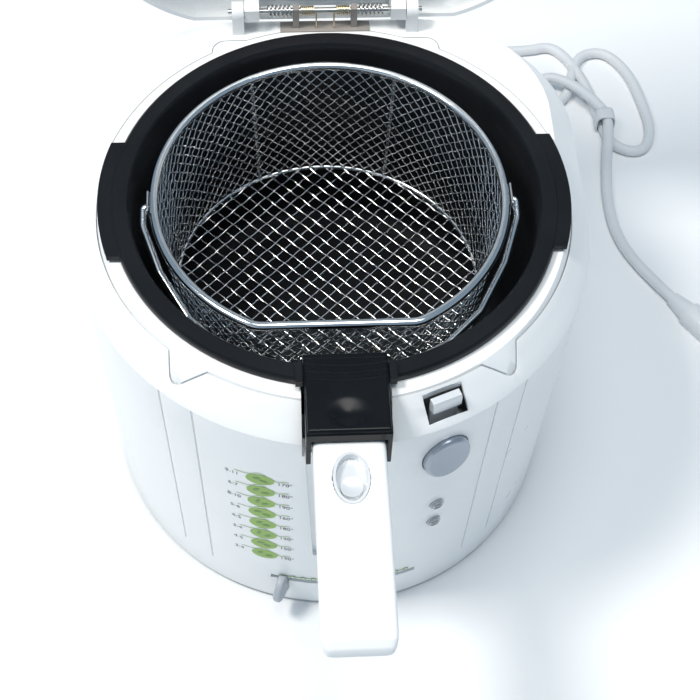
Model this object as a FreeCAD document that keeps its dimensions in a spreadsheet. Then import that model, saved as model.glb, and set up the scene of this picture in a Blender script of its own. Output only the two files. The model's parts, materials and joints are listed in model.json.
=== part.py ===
import FreeCAD, Part
import math
import os

import Sketcher

# Deep fryer: round-fronted housing, lift-out pot, wire basket on a folding handle, hinged lid.
# Frame: origin on the pot's axis at the underside of the base plate, +Z up, front towards -Y.
# Lengths are millimetres and angles degrees. The lid is drawn shut and then swung open.
SIZES = {
    # housing, seen from above at the deck's edge
    "deck_margin": 19.5,
    "front_shift": 3.5,
    "rear_shift": 10.5,
    "rear_corner": 89,
    # housing, seen from the side
    "base_inset": 6.5,
    "shell_height": 196,
    "shell_wall": 2.6,
    "deck_rise": 18.5,
    "deck_inset": 15.5,
    "deck_wall": 3,
    "base_thickness": 3,
    "foot_height": 3,
    "foot_radius": 9,
    "foot_x": 84,
    "foot_front": 78,
    "foot_back": 96,
    "groove_width": 1.2,
    "groove_depth": 0.9,
    "groove_foot": 24,
    "groove_near": 33.8,
    "groove_far": 42.5,
    # handle bay in the front wall
    "bay_half": 22.5,
    "bay_low_half": 16,
    "bay_depth": 4,
    "bay_foot": 66,
    "bay_wall": 2.4,
    "notch_depth": 12,
    # collar round the pot
    "seam_gap": 0.7,
    "seam_inset": 12,
    "bore_gap": 2.8,
    "collar_thickness": 5.5,
    "collar_lap": 1.8,
    "collar_sleeve": 3.2,
    "sleeve_depth": 24,
    "ear_inset": 52,
    "ear_setback": 35.5,
    "ear_round": 6,
    "hatch_half": 65,
    "hatch_setback": 31,
    "hatch_round": 8,
    # pot
    "rim_rise": 5.5,
    "flange_width": 10,
    "flange_skirt": 5.2,
    "mouth_radius": 110,
    "pot_taper": 4,
    "floor_inset": 9,
    "floor_height": 72,
    "floor_turn": 9,
    "pot_wall": 1.8,
    "tab_reach": 6.5,
    "tab_half": 39,
    "tab_thickness": 3.6,
    "cheek_width": 3.6,
    "cheek_rise": 2.6,
    "cheek_overlap": 1,
    # heating
    "shield_gap": 0.2,
    "shield_wall": 0.8,
    "plate_inset": 2,
    "plate_thickness": 4,
    "plate_gap": 0.4,
    "coil_radius": 68,
    "coil_thickness": 4,
    "stand_radius": 84,
    "stand_post": 5,
    "screw_radius": 1.6,
    "screw_head": 3.4,
    "screw_depth": 12,
    "thermostat_width": 34,
    "thermostat_depth": 26,
    "thermostat_height": 15,
    "terminal_aside": 66,
    "terminal_inside": 19,
    "terminal_half": 18,
    "spindle_radius": 3,
    "lever_height": 28,
    "lever_thickness": 2.4,
    "lever_rest": 14,
    "lever_travel": 30,
    "paddle_height": 31,
    "paddle_width": 8,
    "paddle_thickness": 6,
    # lid button, latch and lamps
    "control_azimuth": 21.7,
    "button_radius": 13,
    "button_drop": 30,
    "button_tall": 17.2,
    "button_proud": 3.8,
    "button_depth": 7,
    "button_travel": 4,
    "stem_radius": 4,
    "guide_wall": 1.8,
    "lamp_radius": 4.1,
    "lamp_upper": 109,
    "lamp_lower": 88,
    "latch_half": 8,
    "latch_thickness": 1.8,
    "latch_setback": 8.8,
    "latch_hook": 3,
    "latch_drop": 3,
    "latch_height": 8,
    "slot_half": 11,
    "latch_room": 3.2,
    "slot_inset": 3.4,
    # lid and its hinge
    "lid_gap": 1,
    "lid_lift": 7,
    "lid_side": 40,
    "lid_crown_rise": 14,
    "lid_draft": 2.5,
    "lid_crown": 15,
    "lid_wall": 2.6,
    "lid_open": 95,
    "lid_rear_lift": 8.5,
    "lid_ramp_front": 70,
    "lid_ramp_back": 9,
    "keeper_gap": 0.5,
    "lid_notch_half": 82,
    "lid_notch_depth": 7,
    "hinge_setback": 20,
    "hinge_rise": 12.5,
    "shaft_radius": 1.5,
    "hinge_clearance": 0.05,
    "post_inner": 46.8,
    "post_outer": 53.6,
    "post_half": 6.2,
    "knuckle_inner": 38,
    "knuckle_half": 6,
    "outer_spring_from": 19,
    "outer_spring_to": 34,
    "inner_spring_from": 6,
    "inner_spring_to": 14.6,
    "outer_spring_radius": 3.2,
    "inner_spring_radius": 2.6,
    "spring_wire": 0.9,
    "anchor_half": 26,
    "anchor_tab": 3,
    "liner_drop": 19,
    "liner_wall": 2,
    "filter_radius": 34,
    "grille_radius": 40,
    # basket carrier and handle
    "bracket_half": 21,
    "bracket_rise": 3.4,
    "bracket_plate": 3,
    "bracket_overhang": 9,
    "bracket_inside": 3,
    "bracket_hang": 30,
    "bracket_lip": 3,
    "ear_thickness": 2.4,
    "ear_depth": 28,
    "dimple_radius": 8,
    "dimple_setback": 14,
    "handle_half": 18,
    "pivot_overhang": 3,
    "pivot_drop": 17.4,
    "grip_length": 110,
    "handle_pin": 2.5,
    "handle_fold": 72,
    "oval_half_width": 9,
    "oval_half_length": 14,
    "oval_depth": 6,
    "bezel_wall": 1.3,
    "slide_radius": 5.4,
    "slide_travel": 5,
    "oval_setback": 19.5,
    # bail and basket
    "bail_wire": 2,
    "bail_inside": 9,
    "bail_drop": 22,
    "bail_gap": 0.2,
    "basket_x": 2.5,
    "basket_y": 3,
    "basket_gap": 15.4,
    "basket_rim_wire": 2.5,
    "basket_drop": 5,
    "chord_setback": 9.6,
    "basket_chord_round": 14,
    "basket_depth": 80,
    "basket_taper": 7,
    "mesh_wire": 0.55,
    "mesh_count": 38,
    "mesh_twist": 27,
    "floor_pitch": 13,
    "frame_wire": 1.4,
    "pivot_lower": 4,
    "pivot_plate": 1.2,
    "pivot_lug": 7,
    # mains lead
    "cord_radius": 3.8,
    "exit_x": 45,
    "exit_z": 30,
    "relief_length": 28,
    "relief_radius": 6.5,
    "hank_height": 17,
}

Vector = FreeCAD.Vector
doc = FreeCAD.newDocument("deep_fryer")
sheet = doc.addObject("Spreadsheet::Sheet", "Sizes")
for row, (name, number) in enumerate(SIZES.items(), start=1):
    sheet.set(f"A{row}", name)
    sheet.set(f"B{row}", str(number))
    sheet.setAlias(f"B{row}", name)
doc.recompute()


class Size:
    """A number together with the sheet formula that gives it."""

    def __init__(self, value, formula):
        self.value = value
        self.formula = formula

    def __float__(self):
        return float(self.value)

    def __add__(self, other):
        other = size_of(other)
        return Size(self.value + other.value, f"({self.formula} + {other.formula})")

    def __sub__(self, other):
        other = size_of(other)
        return Size(self.value - other.value, f"({self.formula} - {other.formula})")

    def __mul__(self, other):
        other = size_of(other)
        return Size(self.value * other.value, f"({self.formula} * {other.formula})")

    def __truediv__(self, other):
        other = size_of(other)
        return Size(self.value / other.value, f"({self.formula} / {other.formula})")

    def __radd__(self, other):
        return size_of(other) + self

    def __rsub__(self, other):
        return size_of(other) - self

    def __rmul__(self, other):
        return size_of(other) * self

    def __neg__(self):
        return Size(-self.value, f"(0 - {self.formula})")


def size_of(number):
    """The number as a Size, so that plain numbers and sheet values mix in one formula."""
    if isinstance(number, Size):
        return number
    return Size(float(number), repr(float(number)))


class Sheet:
    """The sheet's cells as attributes."""


S = Sheet()
for name in SIZES:
    setattr(S, name, Size(float(sheet.get(name)), f"Sizes.{name}"))

deck_z = S.shell_height + S.deck_rise
S.half_width = S.mouth_radius + S.flange_width + S.deck_margin
S.front_reach = S.half_width + S.front_shift
S.back_reach = S.half_width + S.rear_shift
S.rim_height = deck_z + S.rim_rise
S.low_radius = S.mouth_radius - S.pot_taper
S.floor_radius = S.low_radius - S.floor_inset
S.flange_radius = S.mouth_radius + S.flange_width
S.tab_radius = S.flange_radius + S.tab_reach
S.collar_bore = S.mouth_radius + S.bore_gap
S.collar_radius = S.half_width - S.seam_inset
S.ear_half = S.half_width - S.ear_inset
S.ear_front = S.front_reach - S.ear_setback
S.hatch_back = S.back_reach - S.hatch_setback
S.plate_radius = S.floor_radius - S.plate_inset
S.hinge_y = S.back_reach - S.hinge_setback
S.hinge_z = deck_z + S.hinge_rise
S.lid_foot = S.shell_height + S.lid_lift
S.lid_shoulder = S.lid_foot + S.lid_side
S.lid_top = S.lid_shoulder + S.lid_crown_rise
S.lid_rear_edge = S.hinge_z + S.lid_rear_lift
S.lid_cut_front = S.hinge_y - S.lid_ramp_front
S.lid_cut_back = S.hinge_y - S.lid_ramp_back
S.lid_notch_back = S.back_reach - S.lid_notch_depth
S.liner_height = S.lid_top - S.liner_drop
S.liner_radius = S.mouth_radius
S.bracket_top = S.rim_height + S.bracket_rise
S.bracket_front = S.front_reach + S.bracket_overhang
S.bracket_back = S.mouth_radius - S.bracket_inside
S.cheek_front = S.flange_radius + S.cheek_overlap
S.cheek_back = S.mouth_radius - S.cheek_overlap
S.dimple_y = S.bracket_front - S.dimple_setback
S.handle_pivot_y = S.front_reach + S.pivot_overhang
S.handle_pivot_z = S.bracket_top - S.pivot_drop
S.handle_end = S.handle_pivot_y + S.grip_length
S.oval_y = S.bracket_front + S.oval_setback
S.bail_y = S.mouth_radius - S.bail_inside
S.bail_z = S.rim_height - S.bail_drop
S.basket_rim_z = S.rim_height - S.basket_drop
S.basket_rim_radius = S.mouth_radius - S.basket_gap
S.basket_chord = S.basket_rim_radius - S.chord_setback
S.pivot_z = S.basket_rim_z - S.pivot_lower
S.bail_reach = S.basket_rim_radius + S.basket_rim_wire + 0.1 + S.pivot_plate + S.bail_gap + S.bail_wire
S.button_height = S.shell_height - S.button_drop
S.latch_neck = S.front_reach - S.latch_setback
S.latch_back = S.latch_neck - S.latch_thickness
S.latch_nose = S.latch_neck + S.latch_hook
S.latch_top = deck_z - S.latch_drop
S.latch_undercut = S.latch_top - S.latch_height
S.slot_back = S.latch_back - S.latch_room
S.slot_front = S.front_reach - S.slot_inset

nodes = []


def node(obj):
    """Keep an object as a finished piece, written out under its own label."""
    nodes.append(obj)
    return obj


def bind(obj, **sizes):
    """Tie an object's properties to formulas of the sheet."""
    for name, size in sizes.items():
        obj.setExpression(name, size_of(size).formula)
    return obj


def place(obj, x=0, y=0, z=0, turn=None):
    """Set an object's turn, given as an axis and an angle, and tie its place to the sheet."""
    if turn:
        axis, angle = turn
        obj.Placement = FreeCAD.Placement(Vector(), FreeCAD.Rotation(Vector(*axis), float(angle)))
    for letter, size in zip("xyz", (x, y, z)):
        obj.setExpression(f"Placement.Base.{letter}", size_of(size).formula)
    return obj


def swing(obj, azimuth):
    """Turn a piece that was drawn at the front of the pot's axis round that axis."""
    obj.Placement = FreeCAD.Placement(Vector(), FreeCAD.Rotation(Vector(0, 0, 1), float(azimuth)))
    return obj


AXIS_TURN = {"z": None, "x": ((0, 1, 0), 90), "y": ((1, 0, 0), -90), "front": ((1, 0, 0), 90)}


def block(name, x, y, z):
    """A box between the low and high value on each axis."""
    obj = doc.addObject("Part::Box", name)
    bind(obj, Length=size_of(x[1]) - x[0], Width=size_of(y[1]) - y[0], Height=size_of(z[1]) - z[0])
    return place(obj, x[0], y[0], z[0])


def rod(name, radius, length, at, along="z"):
    """A cylinder from a point along an axis; front means along -Y."""
    obj = doc.addObject("Part::Cylinder", name)
    bind(obj, Radius=radius, Height=length)
    return place(obj, *at, turn=AXIS_TURN[along])


def cone(name, radius, end_radius, length, at, along="z"):
    """A cone frustum from a point along an axis."""
    obj = doc.addObject("Part::Cone", name)
    bind(obj, Radius1=radius, Radius2=end_radius, Height=length)
    return place(obj, *at, turn=AXIS_TURN[along])


def fuse(name, *shapes):
    """The shapes joined into one."""
    obj = doc.addObject("Part::MultiFuse", name)
    obj.Shapes = list(shapes)
    return obj


def common(name, *shapes):
    """What the shapes share."""
    obj = doc.addObject("Part::MultiCommon", name)
    obj.Shapes = list(shapes)
    return obj


def cut(name, base, *tools):
    """The base less the tools."""
    obj = doc.addObject("Part::Cut", name)
    obj.Base = base
    obj.Tool = tools[0] if len(tools) == 1 else fuse(f"{name}_tools", *tools)
    return obj


def group(name, shapes):
    """Separate solids kept as one piece."""
    obj = doc.addObject("Part::Feature", name)
    obj.Shape = Part.makeCompound(shapes)
    return obj


def sketch_on(body, plane, name, offset=0):
    """A sketch on one of a body's own planes, at an offset along the plane's normal."""
    sketch = body.newObject("Sketcher::SketchObject", name)
    support = next(f for f in body.Origin.OriginFeatures if f.Role == plane)
    sketch.AttachmentSupport = (support, [""])
    sketch.MapMode = "FlatFace"
    sketch.setExpression("AttachmentOffset.Base.z", size_of(offset).formula)
    return sketch


def dimension(sketch, kind, edge, point, size):
    """One dimension of a sketch, tied to the sheet."""
    index = sketch.addConstraint(Sketcher.Constraint(kind, edge, point, float(size)))
    sketch.setExpression(f"Constraints[{index}]", size_of(size).formula)


def draw_polygon(sketch, points):
    """A closed outline of straight edges with both coordinates of each corner dimensioned."""
    count = len(points)
    corners = [Vector(float(x), float(y), 0) for x, y in points]
    for i, corner in enumerate(corners):
        sketch.addGeometry(Part.LineSegment(corner, corners[(i + 1) % count]), False)
    for i in range(count):
        sketch.addConstraint(Sketcher.Constraint("Coincident", i, 2, (i + 1) % count, 1))
    for i, (x, y) in enumerate(points):
        dimension(sketch, "DistanceX", i, 1, x)
        dimension(sketch, "DistanceY", i, 1, y)


def draw_housing(sketch, inset):
    """The housing's plan, drawn in by an inset: half-round front, straight sides, round rear corners."""
    half = S.half_width - inset
    front_y = S.half_width - S.front_reach
    side_y = S.back_reach - S.rear_corner
    corner_x = S.half_width - S.rear_corner
    back_y = S.back_reach - inset
    corner = float(S.rear_corner - inset)
    normal = Vector(0, 0, 1)

    def arc(x, y, radius, start, end):
        circle = Part.Circle(Vector(float(x), float(y), 0), normal, float(radius))
        return Part.ArcOfCircle(circle, math.radians(start), math.radians(end))

    def line(a, b):
        return Part.LineSegment(Vector(*map(float, a), 0), Vector(*map(float, b), 0))

    edges = [
        arc(0, front_y, half, 180, 360),
        line((half, front_y), (half, side_y)),
        arc(corner_x, side_y, corner, 0, 90),
        line((corner_x, back_y), (-corner_x, back_y)),
        arc(-corner_x, side_y, corner, 90, 180),
        line((-half, side_y), (-half, front_y)),
    ]
    for edge in edges:
        sketch.addGeometry(edge, False)
    for i in range(len(edges)):
        sketch.addConstraint(Sketcher.Constraint("Coincident", i, 2, (i + 1) % len(edges), 1))
    sketch.addConstraint(Sketcher.Constraint("Vertical", 1))
    sketch.addConstraint(Sketcher.Constraint("Vertical", 5))
    radius = sketch.addConstraint(Sketcher.Constraint("Radius", 0, float(half)))
    sketch.setExpression(f"Constraints[{radius}]", half.formula)
    dimension(sketch, "DistanceX", 0, 3, 0)
    dimension(sketch, "DistanceY", 0, 3, front_y)
    dimension(sketch, "DistanceY", 0, 1, front_y)
    dimension(sketch, "DistanceY", 0, 2, front_y)
    dimension(sketch, "DistanceY", 1, 2, side_y)
    dimension(sketch, "DistanceY", 5, 1, side_y)
    for edge, x in ((2, corner_x), (4, -corner_x)):
        dimension(sketch, "DistanceX", edge, 3, x)
        dimension(sketch, "DistanceY", edge, 3, side_y)
    dimension(sketch, "DistanceX", 3, 1, corner_x)
    dimension(sketch, "DistanceX", 3, 2, -corner_x)


def turned(name, profile):
    """A solid of revolution about Z of a profile of radius and height."""
    body = doc.addObject("PartDesign::Body", name)
    sketch = sketch_on(body, "XZ_Plane", f"{name}_profile")
    draw_polygon(sketch, profile)
    turn = body.newObject("PartDesign::Revolution", f"{name}_turn")
    turn.Profile = sketch
    turn.ReferenceAxis = (sketch, ["V_Axis"])
    turn.Angle = 360
    body.Tip = turn
    return body


def padded(name, plane, points, low, high):
    """A prism of an outline between two places along the plane's normal."""
    body = doc.addObject("PartDesign::Body", name)
    sketch = sketch_on(body, plane, f"{name}_outline", low)
    draw_polygon(sketch, points)
    pad = body.newObject("PartDesign::Pad", f"{name}_pad")
    pad.Profile = sketch
    bind(pad, Length=size_of(high) - low)
    body.Tip = pad
    return body


def across(name, points, half):
    """A prism of a side view, as far to the left as to the right."""
    return padded(name, "YZ_Plane", points, -size_of(half), half)


def housing_loft(name, sections, cavity=()):
    """A straight-sided loft through housing plans, each an inset and a height, less an inner one."""
    body = doc.addObject("PartDesign::Body", name)
    for kind, part in (("PartDesign::AdditiveLoft", sections), ("PartDesign::SubtractiveLoft", cavity)):
        if not part:
            continue
        sketches = []
        for inset, height in part:
            sketch = sketch_on(body, "XY_Plane", f"{name}_section", height)
            draw_housing(sketch, size_of(inset))
            sketches.append(sketch)
        loft = body.newObject(kind, f"{name}_loft")
        loft.Profile = sketches[0]
        loft.Sections = sketches[1:]
        loft.Ruled = True
        body.Tip = loft
    return body


def lowered(name, obj, drop):
    """A linked copy of a shape, moved down."""
    copy = doc.addObject("Part::Compound", name)
    copy.Links = [obj]
    return place(copy, z=-size_of(drop))


def bend_path(points, bend=None):
    """Straight runs joined by tangent arcs, and the arcs' radii.

    With no bend radius given, each arc takes 0.45 of the shorter of its two runs.
    """
    corners = [Vector(*map(float, p)) for p in points]
    edges, radii, start = [], [], corners[0]
    for before, corner, after in zip(corners, corners[1:], corners[2:]):
        back, ahead = before - corner, after - corner
        half_turn = (math.pi - back.getAngle(ahead)) / 2
        reach = 0.45 * min(back.Length, ahead.Length)
        if bend:
            reach = min(reach, float(bend) * math.tan(half_turn))
        radius = reach / math.tan(half_turn)
        back.normalize()
        ahead.normalize()
        first, last = corner + back * reach, corner + ahead * reach
        inward = back + ahead
        inward.normalize()
        middle = corner + inward * (radius / math.cos(half_turn) - radius)
        edges.append(Part.LineSegment(start, first).toShape())
        edges.append(Part.Arc(first, middle, last).toShape())
        radii.append(radius)
        start = last
    edges.append(Part.LineSegment(start, corners[-1]).toShape())
    return Part.Wire(edges), radii


def tube_shape(path, radius):
    """A round tube along a wire path."""
    first = path.Edges[0]
    start = first.valueAt(first.FirstParameter)
    ahead = first.tangentAt(first.FirstParameter)
    ring = Part.Wire(Part.Circle(start, ahead, float(radius)).toShape())
    return path.makePipeShell([ring], True, False)


def bar(start, end, radius, sides=6):
    """A thin straight wire between two points, with a six-sided section."""
    start, end = Vector(*start), Vector(*end)
    ahead = end - start
    turn = FreeCAD.Rotation(Vector(0, 0, 1), ahead)
    ring = []
    for i in range(sides + 1):
        angle = 2 * math.pi * (i % sides) / sides
        ring.append(start + turn.multVec(Vector(math.cos(angle), math.sin(angle), 0) * radius))
    return Part.Face(Part.makePolygon(ring)).extrude(ahead)


# Heights and places that several pieces share
front_y = S.half_width - S.front_reach
table_z = -S.foot_height
pot_base_z = S.floor_height - S.pot_wall
plate_top_z = pot_base_z - S.plate_gap
plate_low_z = plate_top_z - S.plate_thickness
draft_angle = math.degrees(math.atan2(float(S.base_inset), float(S.shell_height)))


def wall_inset(height):
    """How far the leaning outer wall stands in from the deck's edge at a height."""
    return S.base_inset * (1 - size_of(height) / S.shell_height)


def wall_reach(height):
    """Distance from the pot's axis to the outer wall, straight ahead, at a height."""
    return S.front_reach - wall_inset(height)


def make_housing():
    """Outer shell, deck rim and collar, base plate, feet and heat shield."""
    skin = housing_loft(
        "shell_skin",
        [(S.base_inset, 0), (0, S.shell_height)],
        [(S.base_inset + S.shell_wall, 0), (S.shell_wall, S.shell_height)],
    )
    form = housing_loft("shell_form", [(S.base_inset, 0), (0, S.shell_height)])
    bay_inner = S.front_reach - S.base_inset - S.bay_depth - S.bay_wall
    bay_block = common(
        "bay_block",
        form,
        block(
            "bay_bounds",
            (-S.bay_half - S.bay_wall, S.bay_half + S.bay_wall),
            (-S.front_reach, -bay_inner),
            (S.bay_foot - S.bay_wall, S.shell_height),
        ),
    )
    bay_outline = [
        (-S.bay_low_half, S.bay_foot),
        (S.bay_low_half, S.bay_foot),
        (S.bay_half, S.shell_height + S.deck_rise),
        (-S.bay_half, S.shell_height + S.deck_rise),
    ]
    bay_floor = S.front_reach - S.base_inset - S.bay_depth
    bay = padded("bay_recess", "XZ_Plane", bay_outline, bay_floor, bay_floor + 5 * S.bay_depth)
    bay.Placement = FreeCAD.Placement(
        Vector(), FreeCAD.Rotation(Vector(1, 0, 0), draft_angle), Vector(0, -float(bay_floor), 0)
    )
    notch = block(
        "bay_notch",
        (-S.bay_half, S.bay_half),
        (-S.front_reach - 1, -S.front_reach + 3 * S.bay_depth + S.shell_wall),
        (S.shell_height - S.notch_depth, S.shell_height + 1),
    )
    tools = [bay, notch]
    for index, azimuth in enumerate((-S.groove_far, -S.groove_near, S.groove_near, S.groove_far)):
        groove = block(
            f"groove_{index}",
            (-S.groove_width / 2, S.groove_width / 2),
            (-S.half_width + S.base_inset - 5, -S.half_width + S.base_inset + S.groove_depth),
            (S.groove_foot, S.shell_height + 5),
        )
        lean = FreeCAD.Rotation(Vector(0, 0, 1), float(azimuth)) * FreeCAD.Rotation(
            Vector(1, 0, 0), draft_angle
        )
        pivot = Vector(0, float(S.base_inset - S.half_width), 0)
        axis_shift = Vector(0, float(front_y), 0)
        turn = FreeCAD.Rotation(Vector(0, 0, 1), float(azimuth))
        tilted = fuse(f"groove_{index}_leaned", groove, groove_stub(index))
        tilted.Placement = FreeCAD.Placement(
            axis_shift + turn.multVec(pivot) - lean.multVec(pivot), lean
        )
        tools.append(tilted)
    tools += control_holes()
    node(cut("body_shell", fuse("shell_with_bay", skin, bay_block), *tools))

    deck_form = housing_loft("deck_form", [(0, S.shell_height), (S.deck_inset, deck_z)])
    plan_top = deck_z + 1

    def collar_plan(name, grow):
        low = S.shell_height - 1
        ring = rod(f"{name}_ring", S.collar_radius + grow, plan_top - low, (0, 0, low))
        ears = rounded_block(
            f"{name}_ears",
            (-S.ear_half - grow, S.ear_half + grow),
            (-S.ear_front - grow, -S.ear_front / 2),
            (low, plan_top),
            S.ear_round,
        )
        hatch = rounded_block(
            f"{name}_hatch",
            (-S.hatch_half - grow, S.hatch_half + grow),
            (S.hatch_back / 2, S.hatch_back + grow),
            (low, plan_top),
            S.hatch_round,
        )
        return fuse(name, ring, ears, hatch)

    slot = block(
        "bracket_slot",
        (-S.bay_half, S.bay_half),
        (-S.front_reach - 1, -S.collar_bore / 2),
        (S.shell_height - 1, plan_top),
    )
    latch_slot = swing(
        fuse(
            "latch_slot",
            block(
                "latch_slot_block",
                (-S.slot_half, S.slot_half),
                (-S.slot_front, -S.slot_back),
                (S.shell_height - 1, plan_top),
            ),
            block(
                "latch_slot_shelf",
                (-S.slot_half, S.slot_half),
                (-S.slot_front, -S.slot_back - 1),
                (S.shell_height - 1, deck_z),
            ),
        ),
        S.control_azimuth,
    )
    rim_skin = cut("rim_skin", deck_form, lowered("rim_under", deck_form, S.deck_wall))
    posts = []
    for side in (-1, 1):
        inner, outer = sorted((side * S.post_inner, side * S.post_outer), key=float)
        foot = block(
            "post_foot",
            (inner, outer),
            (S.hinge_y - S.post_half, S.hinge_y + S.post_half),
            (deck_z - S.deck_wall, S.hinge_z),
        )
        head = rod("post_head", S.post_half, outer - inner, (inner, S.hinge_y, S.hinge_z), "x")
        posts += [foot, head]
    shaft_bore = rod(
        "shaft_bore",
        S.shaft_radius + S.hinge_clearance,
        2 * S.post_outer + 2,
        (-S.post_outer - 1, S.hinge_y, S.hinge_z),
        "x",
    )
    opened_rim = cut("rim_opened", rim_skin, collar_plan("seam_plan", S.seam_gap), slot, latch_slot)
    node(cut("deck_rim", fuse("rim_with_posts", opened_rim, *posts), shaft_bore))

    lap_top = S.deck_wall + 0.05
    lap_skin = cut(
        "lap_skin",
        lowered("lap_over", deck_form, lap_top),
        lowered("lap_under", deck_form, S.collar_thickness),
    )
    collar_skin = cut("collar_skin", deck_form, lowered("collar_under", deck_form, S.collar_thickness))
    collar_top = common("collar_top", collar_skin, collar_plan("collar_plan", 0))
    collar_lap = common("collar_lap_ring", lap_skin, collar_plan("lap_plan", S.collar_lap))
    sleeve = rod(
        "collar_sleeve_rod",
        S.collar_bore + S.collar_sleeve,
        S.sleeve_depth - S.deck_wall,
        (0, 0, deck_z - S.sleeve_depth),
    )
    bore = rod("collar_bore_rod", S.collar_bore, 2 * S.sleeve_depth, (0, 0, deck_z - 1.5 * S.sleeve_depth))
    collar_slot = block(
        "collar_slot",
        (-S.bay_half, S.bay_half),
        (-S.front_reach - 1, -S.collar_bore / 2),
        (deck_z - 2 * S.sleeve_depth, plan_top),
    )
    latch_space = block(
        "latch_space",
        (-S.slot_half, S.slot_half),
        (-S.front_reach, -S.slot_back + 0.4),
        (S.shell_height - 8, plan_top),
    )
    latch_room = swing(doc_compound("latch_room", [latch_space]), S.control_azimuth)
    joined = fuse("collar_joined", collar_top, collar_lap, sleeve)
    node(cut("pot_collar", joined, bore, collar_slot, latch_room))

    shield_inner = S.collar_bore + S.collar_sleeve + S.shield_gap
    shield = turned(
        "shield_ring",
        [
            (shield_inner, S.base_thickness),
            (shield_inner + S.shield_wall, S.base_thickness),
            (shield_inner + S.shield_wall, deck_z - S.collar_thickness - 1),
            (shield_inner, deck_z - S.collar_thickness - 1),
        ],
    )
    shield_slot = block(
        "shield_slot",
        (-S.bay_half - 2, S.bay_half + 2),
        (-S.front_reach, 0),
        (S.shell_height - S.notch_depth - 2, deck_z),
    )
    node(cut("heat_shield", shield, lever_sector("shield_lever_slot", 4, 3), shield_slot))

    base_inset = S.base_inset + S.shell_wall + 0.3
    base_slab = housing_loft("base_slab", [(base_inset, 0), (base_inset, S.base_thickness)])
    holes = [
        rod("base_hole", S.screw_radius + 0.1, 2 * S.base_thickness, (x, y, -S.base_thickness / 2))
        for x, y in stand_places()
    ]
    node(cut("base_plate", base_slab, *holes))
    feet = [
        cone("foot", S.foot_radius, S.foot_radius - 1.5, S.foot_height, (x, y, 0), "z")
        for x in (-S.foot_x, S.foot_x)
        for y in (-S.foot_front, S.foot_back)
    ]
    for foot in feet:
        foot.Placement = FreeCAD.Placement(foot.Placement.Base, FreeCAD.Rotation(Vector(1, 0, 0), 180))
    feet_group = doc.addObject("Part::Compound", "rubber_feet")
    feet_group.Links = feet
    node(feet_group)


def groove_stub(index):
    """A short lower end for a groove, inside the groove's own width."""
    return block(
        f"groove_stub_{index}",
        (-S.groove_width / 2, S.groove_width / 2),
        (-S.half_width + S.base_inset - 5, -S.half_width + S.base_inset + S.groove_depth / 2),
        (S.groove_foot - 2, S.groove_foot + 1),
    )


def rounded_block(name, x, y, z, radius):
    """A block with its four upright edges rounded."""
    plain = block(f"{name}_block", x, y, z)
    doc.recompute()
    obj = doc.addObject("Part::Fillet", name)
    obj.Base = plain
    upright = [
        i
        for i, edge in enumerate(plain.Shape.Edges, start=1)
        if abs(edge.tangentAt(edge.FirstParameter).z) > 0.99
    ]
    obj.Edges = [(i, float(radius), float(radius)) for i in upright]
    return obj


def oval_prism(name, half_width, half_length, height, rounding):
    """An upright prism of an oval on the origin, its top edge rounded."""
    half_width, half_length = float(half_width), float(half_length)
    if half_length > half_width:
        ring = Part.Ellipse(Vector(0, half_length, 0), Vector(half_width, 0, 0), Vector())
    else:
        ring = Part.Ellipse(Vector(half_width, 0, 0), Vector(0, half_length, 0), Vector())
    shape = Part.Face(Part.Wire(ring.toShape())).extrude(Vector(0, 0, float(height)))
    if rounding:
        top = [e for e in shape.Edges if e.BoundBox.ZMin > float(height) - 0.01]
        shape = shape.makeFillet(float(rounding), top)
    obj = doc.addObject("Part::Feature", name)
    obj.Shape = shape
    return obj


def stand_places():
    """Where the three posts under the heating plate stand."""
    return [
        (S.stand_radius * math.sin(math.radians(a)), -S.stand_radius * math.cos(math.radians(a)))
        for a in (60, 180, 300)
    ]


def lever_sector(name, margin, room):
    """The wedge-shaped space the thermostat lever sweeps, with room round it."""
    sector = doc.addObject("Part::Cylinder", name)
    spread = S.lever_travel + 2 * margin
    bind(
        sector,
        Radius=S.front_reach + 10,
        Height=S.lever_thickness + 2 * room,
        Angle=spread,
    )
    sector.Placement = FreeCAD.Placement(
        Vector(),
        FreeCAD.Rotation(Vector(0, 0, 1), -90 - float(S.lever_rest) - margin),
    )
    sector.setExpression(
        "Placement.Base.z", (S.lever_height - S.lever_thickness / 2 - room).formula
    )
    return sector


def control_holes():
    """Openings in the shell for the lid button, the two lamps, the lever and the lead."""
    hole = oval_prism("button_hole", S.button_radius + 0.4, S.button_tall + 0.4, S.front_reach / 4, 0)
    hole.Placement = FreeCAD.Placement(
        Vector(0, -0.8 * float(S.front_reach), float(S.button_height)),
        FreeCAD.Rotation(Vector(1, 0, 0), 90),
    )
    radial = [("lamp_hole_upper", S.lamp_radius + 0.15, S.lamp_upper)]
    radial += [("lamp_hole_lower", S.lamp_radius + 0.15, S.lamp_lower)]
    rods = [rod(n, r, S.front_reach / 4, (0, -S.front_reach * 0.8, h), "front") for n, r, h in radial]
    controls = swing(fuse("control_holes", hole, *rods), S.control_azimuth)
    lead = rod(
        "lead_hole", S.relief_radius + 0.1, 20, (S.exit_x, S.back_reach - 15, S.exit_z), "y"
    )
    return [controls, lever_sector("lever_slot", 3, 1), lead]


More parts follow.
